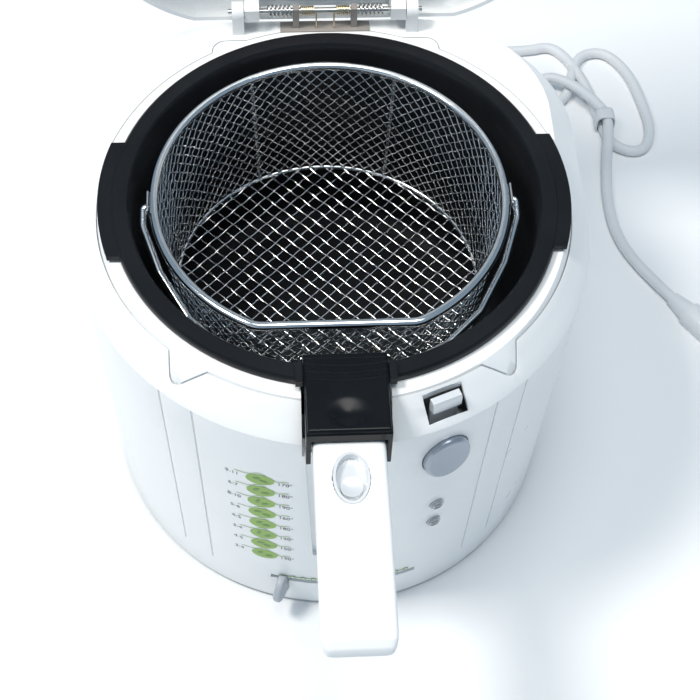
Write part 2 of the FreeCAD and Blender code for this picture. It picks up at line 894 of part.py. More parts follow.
def make_heating():
    """Heating plate on three posts, its element, the thermostat, fuse, terminals and screws."""
    node(
        turned(
            "heater_plate",
            [
                (0, plate_low_z),
                (S.plate_radius, plate_low_z),
                (S.plate_radius, plate_top_z),
                (0, plate_top_z),
            ],
        )
    )
    ring = doc.addObject("Part::Torus", "element_ring")
    bind(ring, Radius1=S.coil_radius, Radius2=S.coil_thickness)
    place(ring, z=plate_low_z - S.coil_thickness)
    pins = [
        rod("element_pin", S.coil_thickness / 2, 14, (x, S.coil_radius - 2, plate_low_z - 20))
        for x in (-10, 10)
    ]
    node(fuse("heating_element", ring, *pins))

    posts = [rod("stand_rod", S.stand_post, plate_low_z - S.base_thickness, (x, y, S.base_thickness))
             for x, y in stand_places()]
    bores = [rod("stand_bore", S.screw_radius + 0.05, S.screw_depth, (x, y, S.base_thickness - 1))
             for x, y in stand_places()]
    node(cut("heater_stand", doc_compound("stand_rods", posts), *bores))
    screws = []
    for x, y in stand_places():
        shank = rod("base_shank", S.screw_radius, S.base_thickness + S.screw_depth - 2, (x, y, 0))
        head = rod("base_head", S.screw_head, 1.8, (x, y, -1.8))
        screws.append(fuse("base_screw", shank, head))
    node(doc_compound("base_screws", screws))

    low = plate_low_z - 8 - S.thermostat_height
    case = block(
        "thermostat_case",
        (-S.thermostat_width / 2, S.thermostat_width / 2),
        (-S.thermostat_depth / 2, S.thermostat_depth / 2),
        (low, low + S.thermostat_height),
    )
    lugs = [rod("thermostat_lug", 3, 8, (x, 0, plate_low_z - 8)) for x in (-12, 12)]
    spindle_low = S.lever_height - S.lever_thickness / 2 - 3
    spindle = rod("thermostat_spindle", S.spindle_radius, low - spindle_low, (0, 0, spindle_low))
    node(fuse("thermostat", case, spindle, *lugs))

    fuse_clip = block("fuse_clip", (26, 34), (20, 44), (plate_low_z - 3, plate_low_z))
    fuse_rod = rod("fuse_rod", 2.6, 20, (30, 22, plate_low_z - 5), "y")
    node(fuse("thermal_fuse", fuse_clip, fuse_rod))

    base_top = S.base_thickness
    middle_x = S.mouth_radius - S.terminal_aside
    middle_y = S.mouth_radius - S.terminal_inside
    terminal = block(
        "terminal_block_case",
        (middle_x - S.terminal_half, middle_x + S.terminal_half),
        (middle_y - 7, middle_y + 7),
        (base_top, base_top + 14),
    )
    wells = [rod("terminal_well", 2.2, 9, (middle_x + x, middle_y, base_top + 7)) for x in (-11, 0, 11)]
    node(cut("terminal_block", terminal, *wells))


def doc_compound(name, objects):
    """Separate objects kept together as one piece."""
    obj = doc.addObject("Part::Compound", name)
    obj.Links = list(objects)
    return obj


def make_controls():
    """Thermostat lever, lid button with its guide and spring, latch, lamps."""
    low = S.lever_height - S.lever_thickness / 2
    hub = rod("lever_hub", S.spindle_radius + 4, S.lever_thickness, (0, 0, low))
    reach = wall_reach(S.lever_height)
    arm = block("lever_arm", (-3, 3), (-reach - 1.5, -S.spindle_radius - 1), (low, low + S.lever_thickness))
    paddle = doc.addObject("Part::Ellipsoid", "lever_paddle")
    bind(paddle, Radius1=S.paddle_height / 2, Radius2=S.paddle_width / 2, Radius3=S.paddle_thickness)
    place(paddle, y=-reach - 0.8, z=S.lever_height - 2)
    outside = block(
        "paddle_bounds",
        (-S.paddle_width, S.paddle_width),
        (-reach - 2 * S.paddle_thickness, -reach - 0.8),
        (0, 2 * S.paddle_height),
    )
    bore = rod("lever_bore", S.spindle_radius + S.hinge_clearance, 20, (0, 0, low - 5))
    lever = cut("thermostat_lever", fuse("lever_blank", hub, arm, common("paddle", paddle, outside)), bore)
    node(swing(lever, -S.lever_rest))

    face = wall_reach(S.button_height) + S.button_proud
    back = face - S.button_depth
    cap = oval_prism("button_cap", S.button_radius, S.button_tall, S.button_depth, 2.4)
    cap.Placement = FreeCAD.Placement(
        Vector(0, -float(back), float(S.button_height)), FreeCAD.Rotation(Vector(1, 0, 0), 90)
    )
    stem_length = 17
    stem_root = (0, -back + stem_length, S.button_height)
    stem = rod("button_stem", S.stem_radius, stem_length + 1, stem_root, "front")
    node(swing(fuse("lid_button", cap, stem), S.control_azimuth))

    guide_back = back - 10
    cup_front = wall_reach(S.button_height) - S.shell_wall - 3.4
    cup = rod("guide_cup", S.button_tall + 1 + S.guide_wall, cup_front - guide_back + S.guide_wall,
              (0, -guide_back + S.guide_wall, S.button_height), "front")
    well = rod("guide_well", S.button_tall + 1, 40, (0, -guide_back, S.button_height), "front")
    hole = rod("guide_hole", S.stem_radius + 0.3, 20, (0, -guide_back + 10, S.button_height), "front")
    node(swing(cut("button_guide", cup, well, hole), S.control_azimuth))

    spring_length = float(back - guide_back) - 1.6
    helix = Part.makeHelix(spring_length / 4, spring_length, float(S.stem_radius) + 1.6)
    section = Part.Wire(Part.makePolygon([
        Vector(float(S.stem_radius) + 1.6 + dx, 0, dz)
        for dx, dz in ((-0.4, -0.4), (0.4, -0.4), (0.4, 0.4), (-0.4, 0.4), (-0.4, -0.4))
    ]))
    spring = doc.addObject("Part::Feature", "button_spring")
    spring.Shape = helix.makePipeShell([section], True, True)
    turn = FreeCAD.Rotation(Vector(0, 0, 1), float(S.control_azimuth))
    upright = turn * FreeCAD.Rotation(Vector(1, 0, 0), 90)
    spring.Placement = FreeCAD.Placement(
        turn.multVec(Vector(0, -float(guide_back) - 0.8, float(S.button_height))), upright
    )
    node(spring)

    latch_foot = S.button_height + S.button_tall + 1 + S.guide_wall + 0.3
    latch = across(
        "lid_latch",
        [
            (-S.latch_back, latch_foot),
            (-S.latch_back, S.latch_top),
            (-S.latch_nose + 1, S.latch_top),
            (-S.latch_nose, S.latch_top - 1.5),
            (-S.latch_nose, S.latch_undercut),
            (-S.latch_neck, S.latch_undercut),
            (-S.latch_neck, latch_foot),
        ],
        S.latch_half,
    )
    node(swing(latch, S.control_azimuth))

    lenses, bulbs = [], []
    for height in (S.lamp_upper, S.lamp_lower):
        wall = wall_reach(height)
        lenses.append(fuse(
            "lamp_lens",
            rod("lens_body", S.lamp_radius, 5, (0, -wall + 4.2, height), "front"),
            rod("lens_rim", S.lamp_radius - 1, 1, (0, -wall - 0.8, height), "front"),
        ))
        bulbs.append(rod("lamp_bulb", 2.5, 9, (0, -wall + 13.2, height), "front"))
    node(swing(doc_compound("lamp_lenses", lenses), S.control_azimuth))
    low_wall = wall_reach(S.lamp_lower)
    board = block("lamp_board", (-7, 7), (-low_wall + 13.2, -low_wall + 15),
                  (S.lamp_lower - 9, S.lamp_upper + 9))
    node(swing(fuse("lamp_holder", board, *bulbs), S.control_azimuth))


def open_lid(obj):
    """Swing a piece of the shut lid about the hinge to where it stands open."""
    centre = Vector(0, float(S.hinge_y), float(S.hinge_z))
    turn = FreeCAD.Rotation(Vector(1, 0, 0), -float(S.lid_open))
    obj.Placement = FreeCAD.Placement(Vector(), turn, centre).multiply(obj.Placement)
    return obj


def make_lid():
    """Lid shell with its knuckles, inner liner, filter, grille, keeper and screws."""
    outer = [
        (S.lid_gap, S.lid_foot),
        (S.lid_gap + S.lid_draft, S.lid_shoulder),
        (S.lid_gap + S.lid_crown, S.lid_top),
    ]
    inner = [
        (S.lid_gap + S.lid_wall, S.lid_foot),
        (S.lid_gap + S.lid_draft + S.lid_wall, S.lid_shoulder - S.lid_wall / 2),
        (S.lid_gap + S.lid_crown + S.lid_wall / 2, S.lid_top - S.lid_wall),
    ]
    dish = housing_loft("lid_dish", outer, inner)
    form = housing_loft("lid_form", outer)
    rear_cut = across(
        "lid_rear_cut",
        [
            (S.lid_cut_front, S.lid_foot - 1),
            (S.lid_cut_back, S.lid_rear_edge),
            (S.back_reach + 10, S.lid_rear_edge),
            (S.back_reach + 10, S.lid_foot - 10),
            (S.lid_cut_front, S.lid_foot - 10),
        ],
        S.half_width + 5,
    )
    notch = block(
        "lid_rear_notch",
        (-S.lid_notch_half, S.lid_notch_half),
        (S.lid_notch_back, S.back_reach + 1),
        (S.lid_foot, S.lid_top + 1),
    )
    panel = common(
        "lid_rear_panel",
        form,
        block(
            "lid_panel_block",
            (-S.lid_notch_half - S.lid_wall, S.lid_notch_half + S.lid_wall),
            (S.lid_notch_back - S.lid_wall, S.lid_notch_back),
            (S.lid_rear_edge, S.lid_top + 1),
        ),
    )
    mouth = block(
        "lid_front_notch",
        (-S.bay_half - 2, S.bay_half + 2),
        (-S.front_reach - 1, -S.front_reach + S.deck_inset + 12),
        (S.lid_foot - 1, S.bracket_top + 3),
    )
    vent = rod("lid_vent", S.grille_radius - 4, 10, (0, 0, S.lid_top - 6))
    ceiling = S.lid_top - S.lid_wall / 2
    knuckles = []
    for side in (-1, 1):
        inner_x, outer_x = sorted((side * S.knuckle_inner, side * (S.post_inner - 0.4)), key=float)
        arm = padded(
            "knuckle",
            "YZ_Plane",
            [
                (S.hinge_y - S.knuckle_half, S.hinge_z),
                (S.hinge_y - S.knuckle_half + 2, S.hinge_z - S.knuckle_half + 1),
                (S.hinge_y + S.knuckle_half - 2, S.hinge_z - S.knuckle_half + 1),
                (S.hinge_y + S.knuckle_half, S.hinge_z),
                (S.hinge_y + S.knuckle_half, ceiling),
                (S.hinge_y - S.knuckle_half, ceiling),
            ],
            inner_x,
            outer_x,
        )
        knuckles.append(arm)
    bosses = [
        rod("liner_boss", 4, ceiling - S.liner_height - S.liner_wall, (x, y, S.liner_height + S.liner_wall))
        for x, y in liner_screw_places()
    ]
    boss_bores = [
        rod("boss_bore", S.screw_radius + 0.05, 10, (x, y, S.liner_height)) for x, y in liner_screw_places()
    ]
    shaft_bore = rod(
        "knuckle_bore",
        S.shaft_radius + S.hinge_clearance,
        2 * S.post_outer,
        (-S.post_outer, S.hinge_y, S.hinge_z),
        "x",
    )
    screw_bores = [
        rod("knuckle_screw_bore", S.screw_radius + 0.05, 8,
            (x, S.hinge_y - S.knuckle_half - 0.1, S.hinge_z + 11), "y")
        for x in hinge_screw_places()
    ]
    opened = cut("lid_opened", dish, rear_cut, notch, mouth, vent)
    whole = fuse("lid_whole", opened, panel, *knuckles, *bosses)
    node(open_lid(cut("lid_shell", whole, shaft_bore, *boss_bores, *screw_bores)))

    top, wall, radius = S.liner_height + S.liner_wall, S.liner_wall, S.liner_radius
    dished = turned(
        "liner_dish",
        [
            (0, top - wall),
            (radius - 8, top - wall),
            (radius - 4, top - wall - 6),
            (radius, top - wall - 6),
            (radius, top - 6),
            (radius - 2.6, top - 6),
            (radius - 6.6, top),
            (0, top),
        ],
    )
    steam = [
        block("steam_slot", (-S.filter_radius / 2, S.filter_radius / 2), (y, y + 4), (top - 8, top + 1))
        for y in (-18, -8, 2, 12)
    ]
    liner_bores = [
        rod("liner_bore", S.screw_radius + 0.1, 10, (x, y, top - 5)) for x, y in liner_screw_places()
    ]
    node(open_lid(cut("lid_liner", dished, *steam, *liner_bores)))

    screws = []
    for x, y in liner_screw_places():
        head = rod("liner_head", S.screw_head, 1.8, (x, y, top - wall - 1.8))
        shank = rod("liner_shank", S.screw_radius, 9, (x, y, top - wall))
        screws.append(fuse("liner_screw", head, shank))
    node(open_lid(doc_compound("liner_screws", screws)))

    pad_height = S.lid_top - S.lid_wall - 2 - top
    pad = rod("filter_pad", S.filter_radius, pad_height, (0, 0, top))
    node(open_lid(doc_compound("lid_filter", [pad])))
    disc = rod("grille_disc", S.grille_radius, 2.4, (0, 0, S.lid_top))
    spigot = rod("grille_spigot", S.grille_radius - 4.2, S.lid_wall + 2, (0, 0, S.lid_top - S.lid_wall - 2))
    slots = [
        block("grille_slot", (-S.grille_radius * 0.62, S.grille_radius * 0.62), (y, y + 3.4),
              (S.lid_top - 6, S.lid_top + 4))
        for y in (-19.7, -10.7, -1.7, 7.3, 16.3)
    ]
    node(open_lid(cut("filter_grille", fuse("grille_blank", disc, spigot), *slots)))

    keeper_back = S.latch_neck + 0.5
    keeper_face = S.front_reach - S.lid_gap - S.lid_wall - S.lid_draft * 0.25 - S.keeper_gap
    keeper = across(
        "lid_keeper",
        [
            (-keeper_back, S.latch_undercut - 2.4),
            (-keeper_back, S.latch_undercut - 0.4),
            (-S.latch_nose - 0.5, S.latch_undercut - 0.4),
            (-S.latch_nose - 0.5, S.latch_top - 1),
            (-keeper_face, S.latch_top - 1),
            (-keeper_face, S.latch_undercut - 2.4),
        ],
        S.latch_half - 1,
    )
    node(open_lid(swing(keeper, S.control_azimuth)))

    hinge_screws = []
    for x in hinge_screw_places():
        face = S.hinge_y - S.knuckle_half
        head = rod("hinge_head", S.screw_head, 1.6, (x, face, S.hinge_z + 11), "front")
        shank = rod("hinge_shank", S.screw_radius, 7, (x, face, S.hinge_z + 11), "y")
        hinge_screws.append(fuse("hinge_screw", head, shank))
    node(open_lid(doc_compound("hinge_screws", hinge_screws)))


def liner_screw_places():
    """Where the inner liner is screwed to the lid."""
    return [(x, y) for x in (-66, 66) for y in (-58, 58)]


def hinge_screw_places():
    """The middle of each lid knuckle."""
    middle = (S.knuckle_inner + S.post_inner - 0.4) / 2
    return (-middle, middle)


def coil_shape(start, end, turns, radius, wire):
    """A coil spring along X between two places, of four-sided wire."""
    length = end - start - wire
    helix = Part.makeHelix(length / turns, length, radius)
    half = wire / 2
    section = Part.Wire(Part.makePolygon([
        Vector(radius + dx, 0, dz)
        for dx, dz in ((-half, -half), (half, -half), (half, half), (-half, half), (-half, -half))
    ]))
    spring = helix.makePipeShell([section], True, True)
    spring.Placement = FreeCAD.Placement(
        Vector(start + half, float(S.hinge_y), float(S.hinge_z)), FreeCAD.Rotation(Vector(0, 1, 0), 90)
    )
    return spring


def make_hinge():
    """Hinge shaft, two pairs of springs and the steel strip that anchors them."""
    end = S.post_outer + 2.4
    node(rod("hinge_shaft", S.shaft_radius, 2 * end, (-end, S.hinge_y, S.hinge_z), "x"))
    wire = float(S.spring_wire)
    outer = [
        coil_shape(low, high, 6, float(S.outer_spring_radius), wire)
        for low, high in (
            (float(S.outer_spring_from), float(S.outer_spring_to)),
            (-float(S.outer_spring_to), -float(S.outer_spring_from)),
        )
    ]
    node(group("outer_springs", outer))
    inner = [
        coil_shape(low, high, 7, float(S.inner_spring_radius), wire * 0.8)
        for low, high in (
            (float(S.inner_spring_from), float(S.inner_spring_to)),
            (-float(S.inner_spring_to), -float(S.inner_spring_from)),
        )
    ]
    leg_x = float(S.inner_spring_from) - wire
    strip_top = float(deck_z) + 1
    legs = [
        bar(
            (side * leg_x, float(S.hinge_y - S.inner_spring_radius), strip_top + 0.1),
            (side * leg_x, float(S.hinge_y - S.inner_spring_radius), float(S.hinge_z) + 1),
            wire / 2,
        )
        for side in (-1, 1)
    ]
    node(group("inner_springs", inner + legs))

    strip = block("anchor_strip", (-S.anchor_half, S.anchor_half), (S.hinge_y - 5, S.hinge_y + 3),
                  (deck_z, deck_z + 1))
    tabs = []
    for side in (-1, 1):
        low, high = sorted(
            (side * (S.inner_spring_to + 0.4), side * (S.outer_spring_from - 0.4)), key=float
        )
        tabs.append(
            block("anchor_upright", (low, high), (S.hinge_y - 2.6, S.hinge_y + 2.6),
                  (deck_z, S.hinge_z + S.anchor_tab))
        )
    bore = rod("anchor_bore", S.shaft_radius + S.hinge_clearance, 80, (-40, S.hinge_y, S.hinge_z), "x")
    node(cut("spring_anchor", fuse("anchor_blank", strip, *tabs), bore))


def make_pot():
    """Lift-out pot with its flange, two lifting tabs and the cheeks that guide the basket carrier."""
    wall = S.pot_wall
    cup = turned(
        "pot_cup",
        [
            (0, pot_base_z),
            (S.floor_radius, pot_base_z),
            (S.low_radius + wall, S.floor_height + S.floor_turn - wall),
            (S.mouth_radius + wall, S.rim_height - wall),
            (S.flange_radius - wall, S.rim_height - wall),
            (S.flange_radius - wall, S.rim_height - S.flange_skirt),
            (S.flange_radius, S.rim_height - S.flange_skirt),
            (S.flange_radius, S.rim_height - 1.2),
            (S.flange_radius - 1.2, S.rim_height),
            (S.mouth_radius + 1.2, S.rim_height),
            (S.mouth_radius, S.rim_height - 1.4),
            (S.low_radius, S.floor_height + S.floor_turn),
            (S.floor_radius - 1, S.floor_height),
            (0, S.floor_height),
        ],
    )
    tab_low = S.rim_height - S.tab_thickness
    tab_disc = rod("tab_disc", S.tab_radius, S.tab_thickness - 0.4, (0, 0, tab_low))
    tab_hole = rod("tab_hole", S.flange_radius - wall, 20, (0, 0, tab_low - 5))
    tab_band = block("tab_band", (-S.tab_radius, S.tab_radius), (-S.tab_half, S.tab_half),
                     (tab_low, S.rim_height))
    tabs = common("pot_tabs", cut("tab_ring", tab_disc, tab_hole), tab_band)
    cheeks = []
    for side in (-1, 1):
        low, high = sorted(
            (side * (S.bracket_half + 0.6), side * (S.bracket_half + 0.6 + S.cheek_width)), key=float
        )
        cheeks.append(
            block("pot_cheek", (low, high), (-S.cheek_front, -S.cheek_back),
                  (S.rim_height - wall, S.rim_height + S.cheek_rise))
        )
    node(fuse("pot", cup, tabs, *cheeks))


def make_carrier():
    """Basket carrier over the pot's rim, its pin, the folding handle, bezel and release slide."""
    top, low = S.bracket_top, S.bracket_top - S.bracket_plate
    plate = across(
        "carrier_plate",
        [
            (-S.bracket_front, low - 3.6),
            (-S.bracket_front, top - 1),
            (-S.bracket_front + 1, top),
            (-S.bracket_back - 12, top),
            (-S.bracket_back - 11, top - 0.8),
            (-S.bracket_back - 6, top - 0.8),
            (-S.bracket_back - 5, top),
            (-S.bracket_back + 1.4, top),
            (-S.bracket_back + S.bracket_lip, top - 2),
            (-S.bracket_back + S.bracket_lip, top - S.bracket_hang),
            (-S.bracket_back, top - S.bracket_hang),
            (-S.bracket_back, low),
            (-S.bracket_front + 2.4, low),
            (-S.bracket_front + 2.4, low - 3.6),
        ],
        S.bracket_half,
    )
    ears = []
    for side in (-1, 1):
        inner, outer = sorted(
            (side * S.bracket_half, side * (S.bracket_half - S.ear_thickness)), key=float
        )
        ears.append(
            padded(
                "carrier_ear",
                "YZ_Plane",
                [
                    (-S.bracket_front, top - S.ear_depth),
                    (-S.bracket_front, top - 1.5),
                    (-S.bracket_front + 18, top - 1.5),
                    (-S.bracket_front + 12, top - S.ear_depth),
                ],
                inner,
                outer,
            )
        )
    hub_half = S.bracket_half - 4
    hub = across(
        "carrier_hub",
        [
            (-S.bracket_back, S.bail_z - 5),
            (-S.bracket_back, S.bail_z + 5),
            (-S.bail_y + 2, S.bail_z + 5),
            (-S.bail_y + 4.4, S.bail_z + 2.4),
            (-S.bail_y + 4.4, S.bail_z - 2.4),
            (-S.bail_y + 2, S.bail_z - 5),
        ],
        hub_half,
    )
    bail_bore = rod("bail_bore", S.bail_wire + S.hinge_clearance, 60, (-30, -S.bail_y, S.bail_z), "x")
    pin_at = (-S.bracket_half, -S.handle_pivot_y, S.handle_pivot_z)
    pin_bore = rod("pin_bore", S.handle_pin + S.hinge_clearance, 2 * S.bracket_half, pin_at, "x")
    dimple = doc.addObject("Part::Sphere", "thumb_dimple")
    bind(dimple, Radius=2 * S.dimple_radius)
    place(dimple, y=-S.dimple_y, z=top + S.dimple_radius * 1.7321)
    node(cut("basket_carrier", fuse("carrier_blank", plate, hub, *ears), bail_bore, pin_bore, dimple))
    node(rod("handle_pin", S.handle_pin, 2 * S.bracket_half, pin_at, "x"))

    y, z = -S.handle_pivot_y, S.handle_pivot_z
    grip = across(
        "handle_grip",
        [
            (y + 4, z - 5),
            (y + 5, z + 2),
            (y + 1, z + 8),
            (-S.bracket_front - 0.6, z + 9.6),
            (-S.oval_y - 30, z + 10.4),
            (-S.handle_end + 3, z + 3),
            (-S.handle_end, z - 1),
            (-S.handle_end + 1, z - 7),
            (-S.handle_end + 5, z - 9),
            (-S.oval_y - 30, z - 7),
            (y - 4, z - 9.4),
        ],
        S.handle_half,
    )
    pivot_bore = rod("grip_bore", S.handle_pin + S.hinge_clearance, 60, (-30, y, z), "x")
    oval_top = float(z) + 10.4
    oval_floor = oval_top - float(S.oval_depth)
    oval_at = Vector(0, -float(S.oval_y), 0)

    def oval(name, shrink, low, height):
        obj = oval_prism(name, S.oval_half_width - shrink, S.oval_half_length - shrink, height, 0)
        obj.Placement = FreeCAD.Placement(oval_at + Vector(0, 0, low), FreeCAD.Rotation())
        return obj

    pocket = oval("oval_pocket", 0, oval_floor, 20)
    node(cut("handle_shell", grip, pivot_bore, pocket))
    rim = oval("bezel_rim", 0.1, oval_floor + 0.05, S.oval_depth)
    inside = oval("bezel_inside", 0.1 + S.bezel_wall, oval_floor + 1.05, 20)
    node(cut("release_bezel", rim, inside))
    slide_y = -S.oval_y - S.slide_travel * 0.9
    slide_low = oval_floor + 1.15
    knob = rod("slide_knob", S.slide_radius, S.oval_depth - 2.2, (0, slide_y, slide_low))
    thumb = doc.addObject("Part::Sphere", "slide_thumb")
    bind(thumb, Radius=4 * S.slide_radius)
    place(thumb, y=slide_y, z=slide_low + S.oval_depth - 3.2 + 4 * S.slide_radius)
    node(cut("handle_release", knob, thumb))


def d_point(angle, radius, chord):
    """A point of the basket's plan: round, with a straight front."""
    x, y = math.cos(angle), math.sin(angle)
    if radius * y < -chord:
        radius = chord / -y
    return -float(S.basket_x) + radius * x, float(S.basket_y) + radius * y


def d_path(radius, chord, bend, height):
    """A closed wire path round the basket's plan with bends where the straight front starts."""
    bend_x = math.sqrt((radius - bend) ** 2 - (chord - bend) ** 2)
    scale = radius / (radius - bend)
    centre = Vector(-float(S.basket_x), float(S.basket_y), height)

    def at(x, y):
        return centre + Vector(x, y, 0)

    right, left = at(bend_x * scale, (bend - chord) * scale), at(-bend_x * scale, (bend - chord) * scale)
    turn = (math.atan2(bend - chord, bend_x) - math.pi / 2) / 2
    mid_x, mid_y = bend * math.cos(turn), bend * math.sin(turn)
    edges = [
        Part.Arc(right, at(0, radius), left).toShape(),
        Part.Arc(left, at(-bend_x - mid_x, bend - chord + mid_y), at(-bend_x, -chord)).toShape(),
        Part.LineSegment(at(-bend_x, -chord), at(bend_x, -chord)).toShape(),
        Part.Arc(at(bend_x, -chord), at(bend_x + mid_x, bend - chord + mid_y), right).toShape(),
    ]
    return Part.Wire(edges)


def make_basket():
    """Basket: rim, woven wires, bottom ring with ribs, pivot plates; and the bail that carries it."""
    rim_z, rim_r, chord = float(S.basket_rim_z), float(S.basket_rim_radius), float(S.basket_chord)
    wire, rim_wire = float(S.mesh_wire), float(S.basket_rim_wire)
    floor_z = rim_z - float(S.basket_depth)
    low_r, low_chord = rim_r - float(S.basket_taper), chord - float(S.basket_taper)
    bend, ring_wire = float(S.basket_chord_round), float(S.frame_wire)

    rim = doc.addObject("Part::Feature", "basket_rim")
    rim.Shape = tube_shape(d_path(rim_r, chord, bend, rim_z), rim_wire)
    node(rim)

    wires = []
    count = int(float(S.mesh_count))
    twist = math.radians(float(S.mesh_twist))
    top_z, low_z = rim_z - rim_wire - 0.15, floor_z + ring_wire + 0.15
    for layer, sign in ((0, 1), (2 * wire + 0.1, -1)):
        for i in range(count):
            angle = 2 * math.pi * (i + 0.5) / count
            top = d_point(angle, rim_r - layer, chord - layer)
            low = d_point(angle + sign * twist, low_r - layer, low_chord - layer)
            wires.append(bar((*top, top_z), (*low, low_z), wire))
    pitch = float(S.floor_pitch)
    steps = int(low_r / pitch)
    for layer, slope in ((0, 45), (2 * wire + 0.1, 135)):
        ahead = Vector(math.cos(math.radians(slope)), math.sin(math.radians(slope)), 0)
        side = Vector(-ahead.y, ahead.x, 0)
        for i in range(-steps, steps + 1):
            offset = i * pitch
            half = math.sqrt(low_r**2 - offset**2)
            ends = []
            for sign in (-1, 1):
                point = side * offset + ahead * (sign * half)
                if point.y < -low_chord:
                    point = point + ahead * ((-low_chord - point.y) / ahead.y)
                ends.append(point)
            trim = ring_wire + 0.2
            first, last = ends[0] + ahead * trim, ends[1] - ahead * trim
            if (last - first).dot(ahead) < 2 * pitch:
                continue
            shift = Vector(-float(S.basket_x), float(S.basket_y), floor_z + layer - wire)
            wires.append(bar(first + shift, last + shift, wire))
    node(group("basket_mesh", wires))

    frame = [tube_shape(d_path(low_r, low_chord, bend, floor_z), ring_wire)]
    for angle in (18, 162, 65, 115):
        top = d_point(math.radians(angle), rim_r + ring_wire + wire + 0.3, chord + 10)
        low = d_point(math.radians(angle), low_r + ring_wire + wire + 0.3, low_chord + 10)
        frame.append(bar((*top, rim_z - rim_wire - 0.2), (*low, floor_z + 0.2), ring_wire, 8))
    node(group("basket_frame", frame))

    lug = float(S.pivot_lug)
    plate_from = rim_r + rim_wire + 0.1
    pivot_y, pivot_z = 0.0, float(S.pivot_z)
    plates, bores = [], []
    for side in (-1, 1):
        x = -float(S.basket_x) + side * plate_from
        low, high = sorted((x, x + side * float(S.pivot_plate)))
        plates.append(block("pivot_lug_plate", (low, high), (pivot_y - lug, pivot_y + lug),
                            (pivot_z - 5, pivot_z + 6)))
    span = 2 * (plate_from + 10)
    bores.append(rod("pivot_bore", S.bail_wire + S.hinge_clearance, span,
                     (-float(S.basket_x) - span / 2, pivot_y, pivot_z), "x"))
    node(cut("pivot_plates", doc_compound("pivot_blanks", plates), *bores))

    shift = -float(S.basket_x)
    bail_y, bail_z, reach = -float(S.bail_y), float(S.bail_z), float(S.bail_reach)
    inner = plate_from - 0.6
    mouth = float(S.mouth_radius)
    half = [
        (float(S.bracket_half) + 5, bail_y, bail_z),
        (mouth * 0.518, bail_y + 17, bail_z - 1),
        (mouth * 0.691, bail_y + 35, bail_z + 2),
        (mouth * 0.832, bail_y + 63, bail_z + 6),
        (reach, pivot_y - 11, pivot_z - 2.5),
        (reach, pivot_y, pivot_z),
        (inner, pivot_y, pivot_z),
    ]
    right = [(x + shift, y, z) for x, y, z in half]
    left = [(-x + shift, y, z) for x, y, z in reversed(half)]
    path, _ = bend_path(left + right, 7)
    bail = doc.addObject("Part::Feature", "bail_wire")
    bail.Shape = tube_shape(path, S.bail_wire)
    node(bail)


def make_cord():
    """Mains lead: strain relief, the run to the tied hank, the hank, its tie, the tail and the plug."""
    back = S.back_reach - wall_inset(S.exit_z)
    collar_root = (S.exit_x, back - S.shell_wall - 2, S.exit_z)
    collar = rod("relief_collar", S.relief_radius, S.shell_wall + 3, collar_root, "y")
    taper = cone("relief_taper", S.relief_radius, S.cord_radius + 0.8, S.relief_length - 1,
                 (S.exit_x, back + 1, S.exit_z), "y")
    node(fuse("strain_relief", collar, taper))

    radius = float(S.cord_radius)
    lie = float(table_z) + radius
    exit_y = float(back + S.relief_length)
    exit_x, exit_z = float(S.exit_x), float(S.exit_z)
    hank_x, hank_front = 166.0, 226.0
    run = [
        (exit_x, exit_y, exit_z),
        (exit_x, exit_y + 34, exit_z),
        (exit_x + 4, exit_y + 68, lie + 9),
        (exit_x + 16, exit_y + 102, lie),
        (exit_x + 40, exit_y + 128, lie),
        (exit_x + 76, 316, lie),
        (hank_x, 316, lie),
    ]
    tail = [
        (211, hank_front, lie),
        (211, 196, lie),
        (207, 164, lie),
        (210, 132, lie),
        (223, 104, lie),
        (240, 80, lie),
    ]
    for name, route in (("cord_tube", run), ("cord_tail", tail)):
        path, radii = bend_path(route)
        print(name, "bend radii", [round(r) for r in radii], "length", round(path.Length))
        obj = doc.addObject("Part::Feature", name)
        obj.Shape = tube_shape(path, radius)
        node(obj)

    hank = [
        (hank_x, 310), (hank_x, 322), (192, 328), (220, 324), (236, 308), (234, 280), (226, 252),
        (224, hank_front), (198, hank_front), (192, 244), (174, 252), (170, 272), (182, 296),
    ]
    node(padded("cord_hank", "XY_Plane", hank, table_z, table_z + S.hank_height))

    end, before = Vector(*tail[-1]), Vector(*tail[-2])
    ahead = end - before
    turn = FreeCAD.Rotation(Vector(0, 0, 1), ahead)
    neck = Part.makeCone(radius + 1, 7.6, 16, Vector(), Vector(0, 0, 1))
    shell = Part.makeCylinder(9, 26, Vector(0, 0, 16), Vector(0, 0, 1))
    nose = Part.makeCone(9, 8, 4, Vector(0, 0, 42), Vector(0, 0, 1))
    ground = Part.makeBox(200, 200, 50, Vector(150, 0, float(table_z) - 50))
    plug = doc.addObject("Part::Feature", "plug")
    shape = neck.fuse([shell, nose])
    shape.Placement = FreeCAD.Placement(end, turn)
    plug.Shape = shape.cut(ground).removeSplitter()
    node(plug)
    pins = []
    for side in (-9.5, 9.5):
        pin = Part.makeCylinder(2.4, 19, Vector(0, 0, 46), Vector(0, 0, 1))
        offset = turn.multVec(Vector(1, 0, 0))
        flat = Vector(offset.x, offset.y, 0)
        pin.Placement = FreeCAD.Placement(end, turn)
        pins.append(pin.translated(flat * side * 0.5))
    node(group("plug_pins", pins))


make_housing()
make_heating()
make_controls()
make_lid()
make_hinge()
make_pot()
make_carrier()
make_basket()
make_cord()
doc.recompute()

faults = [o.Name for o in doc.Objects if {"Invalid", "Error"} & set(o.State)]
faults += [o.Label for o in nodes if o.Shape.isNull() or not o.Shape.isValid() or not o.Shape.Solids]
if faults:
    raise SystemExit(f"failed objects: {faults}")
os.makedirs("parts", exist_ok=True)
for piece in nodes:
    piece.Shape.exportStep(f"parts/{piece.Label}.step")
print(len(nodes), "pieces")
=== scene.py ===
"""Deep fryer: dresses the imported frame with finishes, printed marks, a woven basket, a grip and a lead."""

from __future__ import annotations

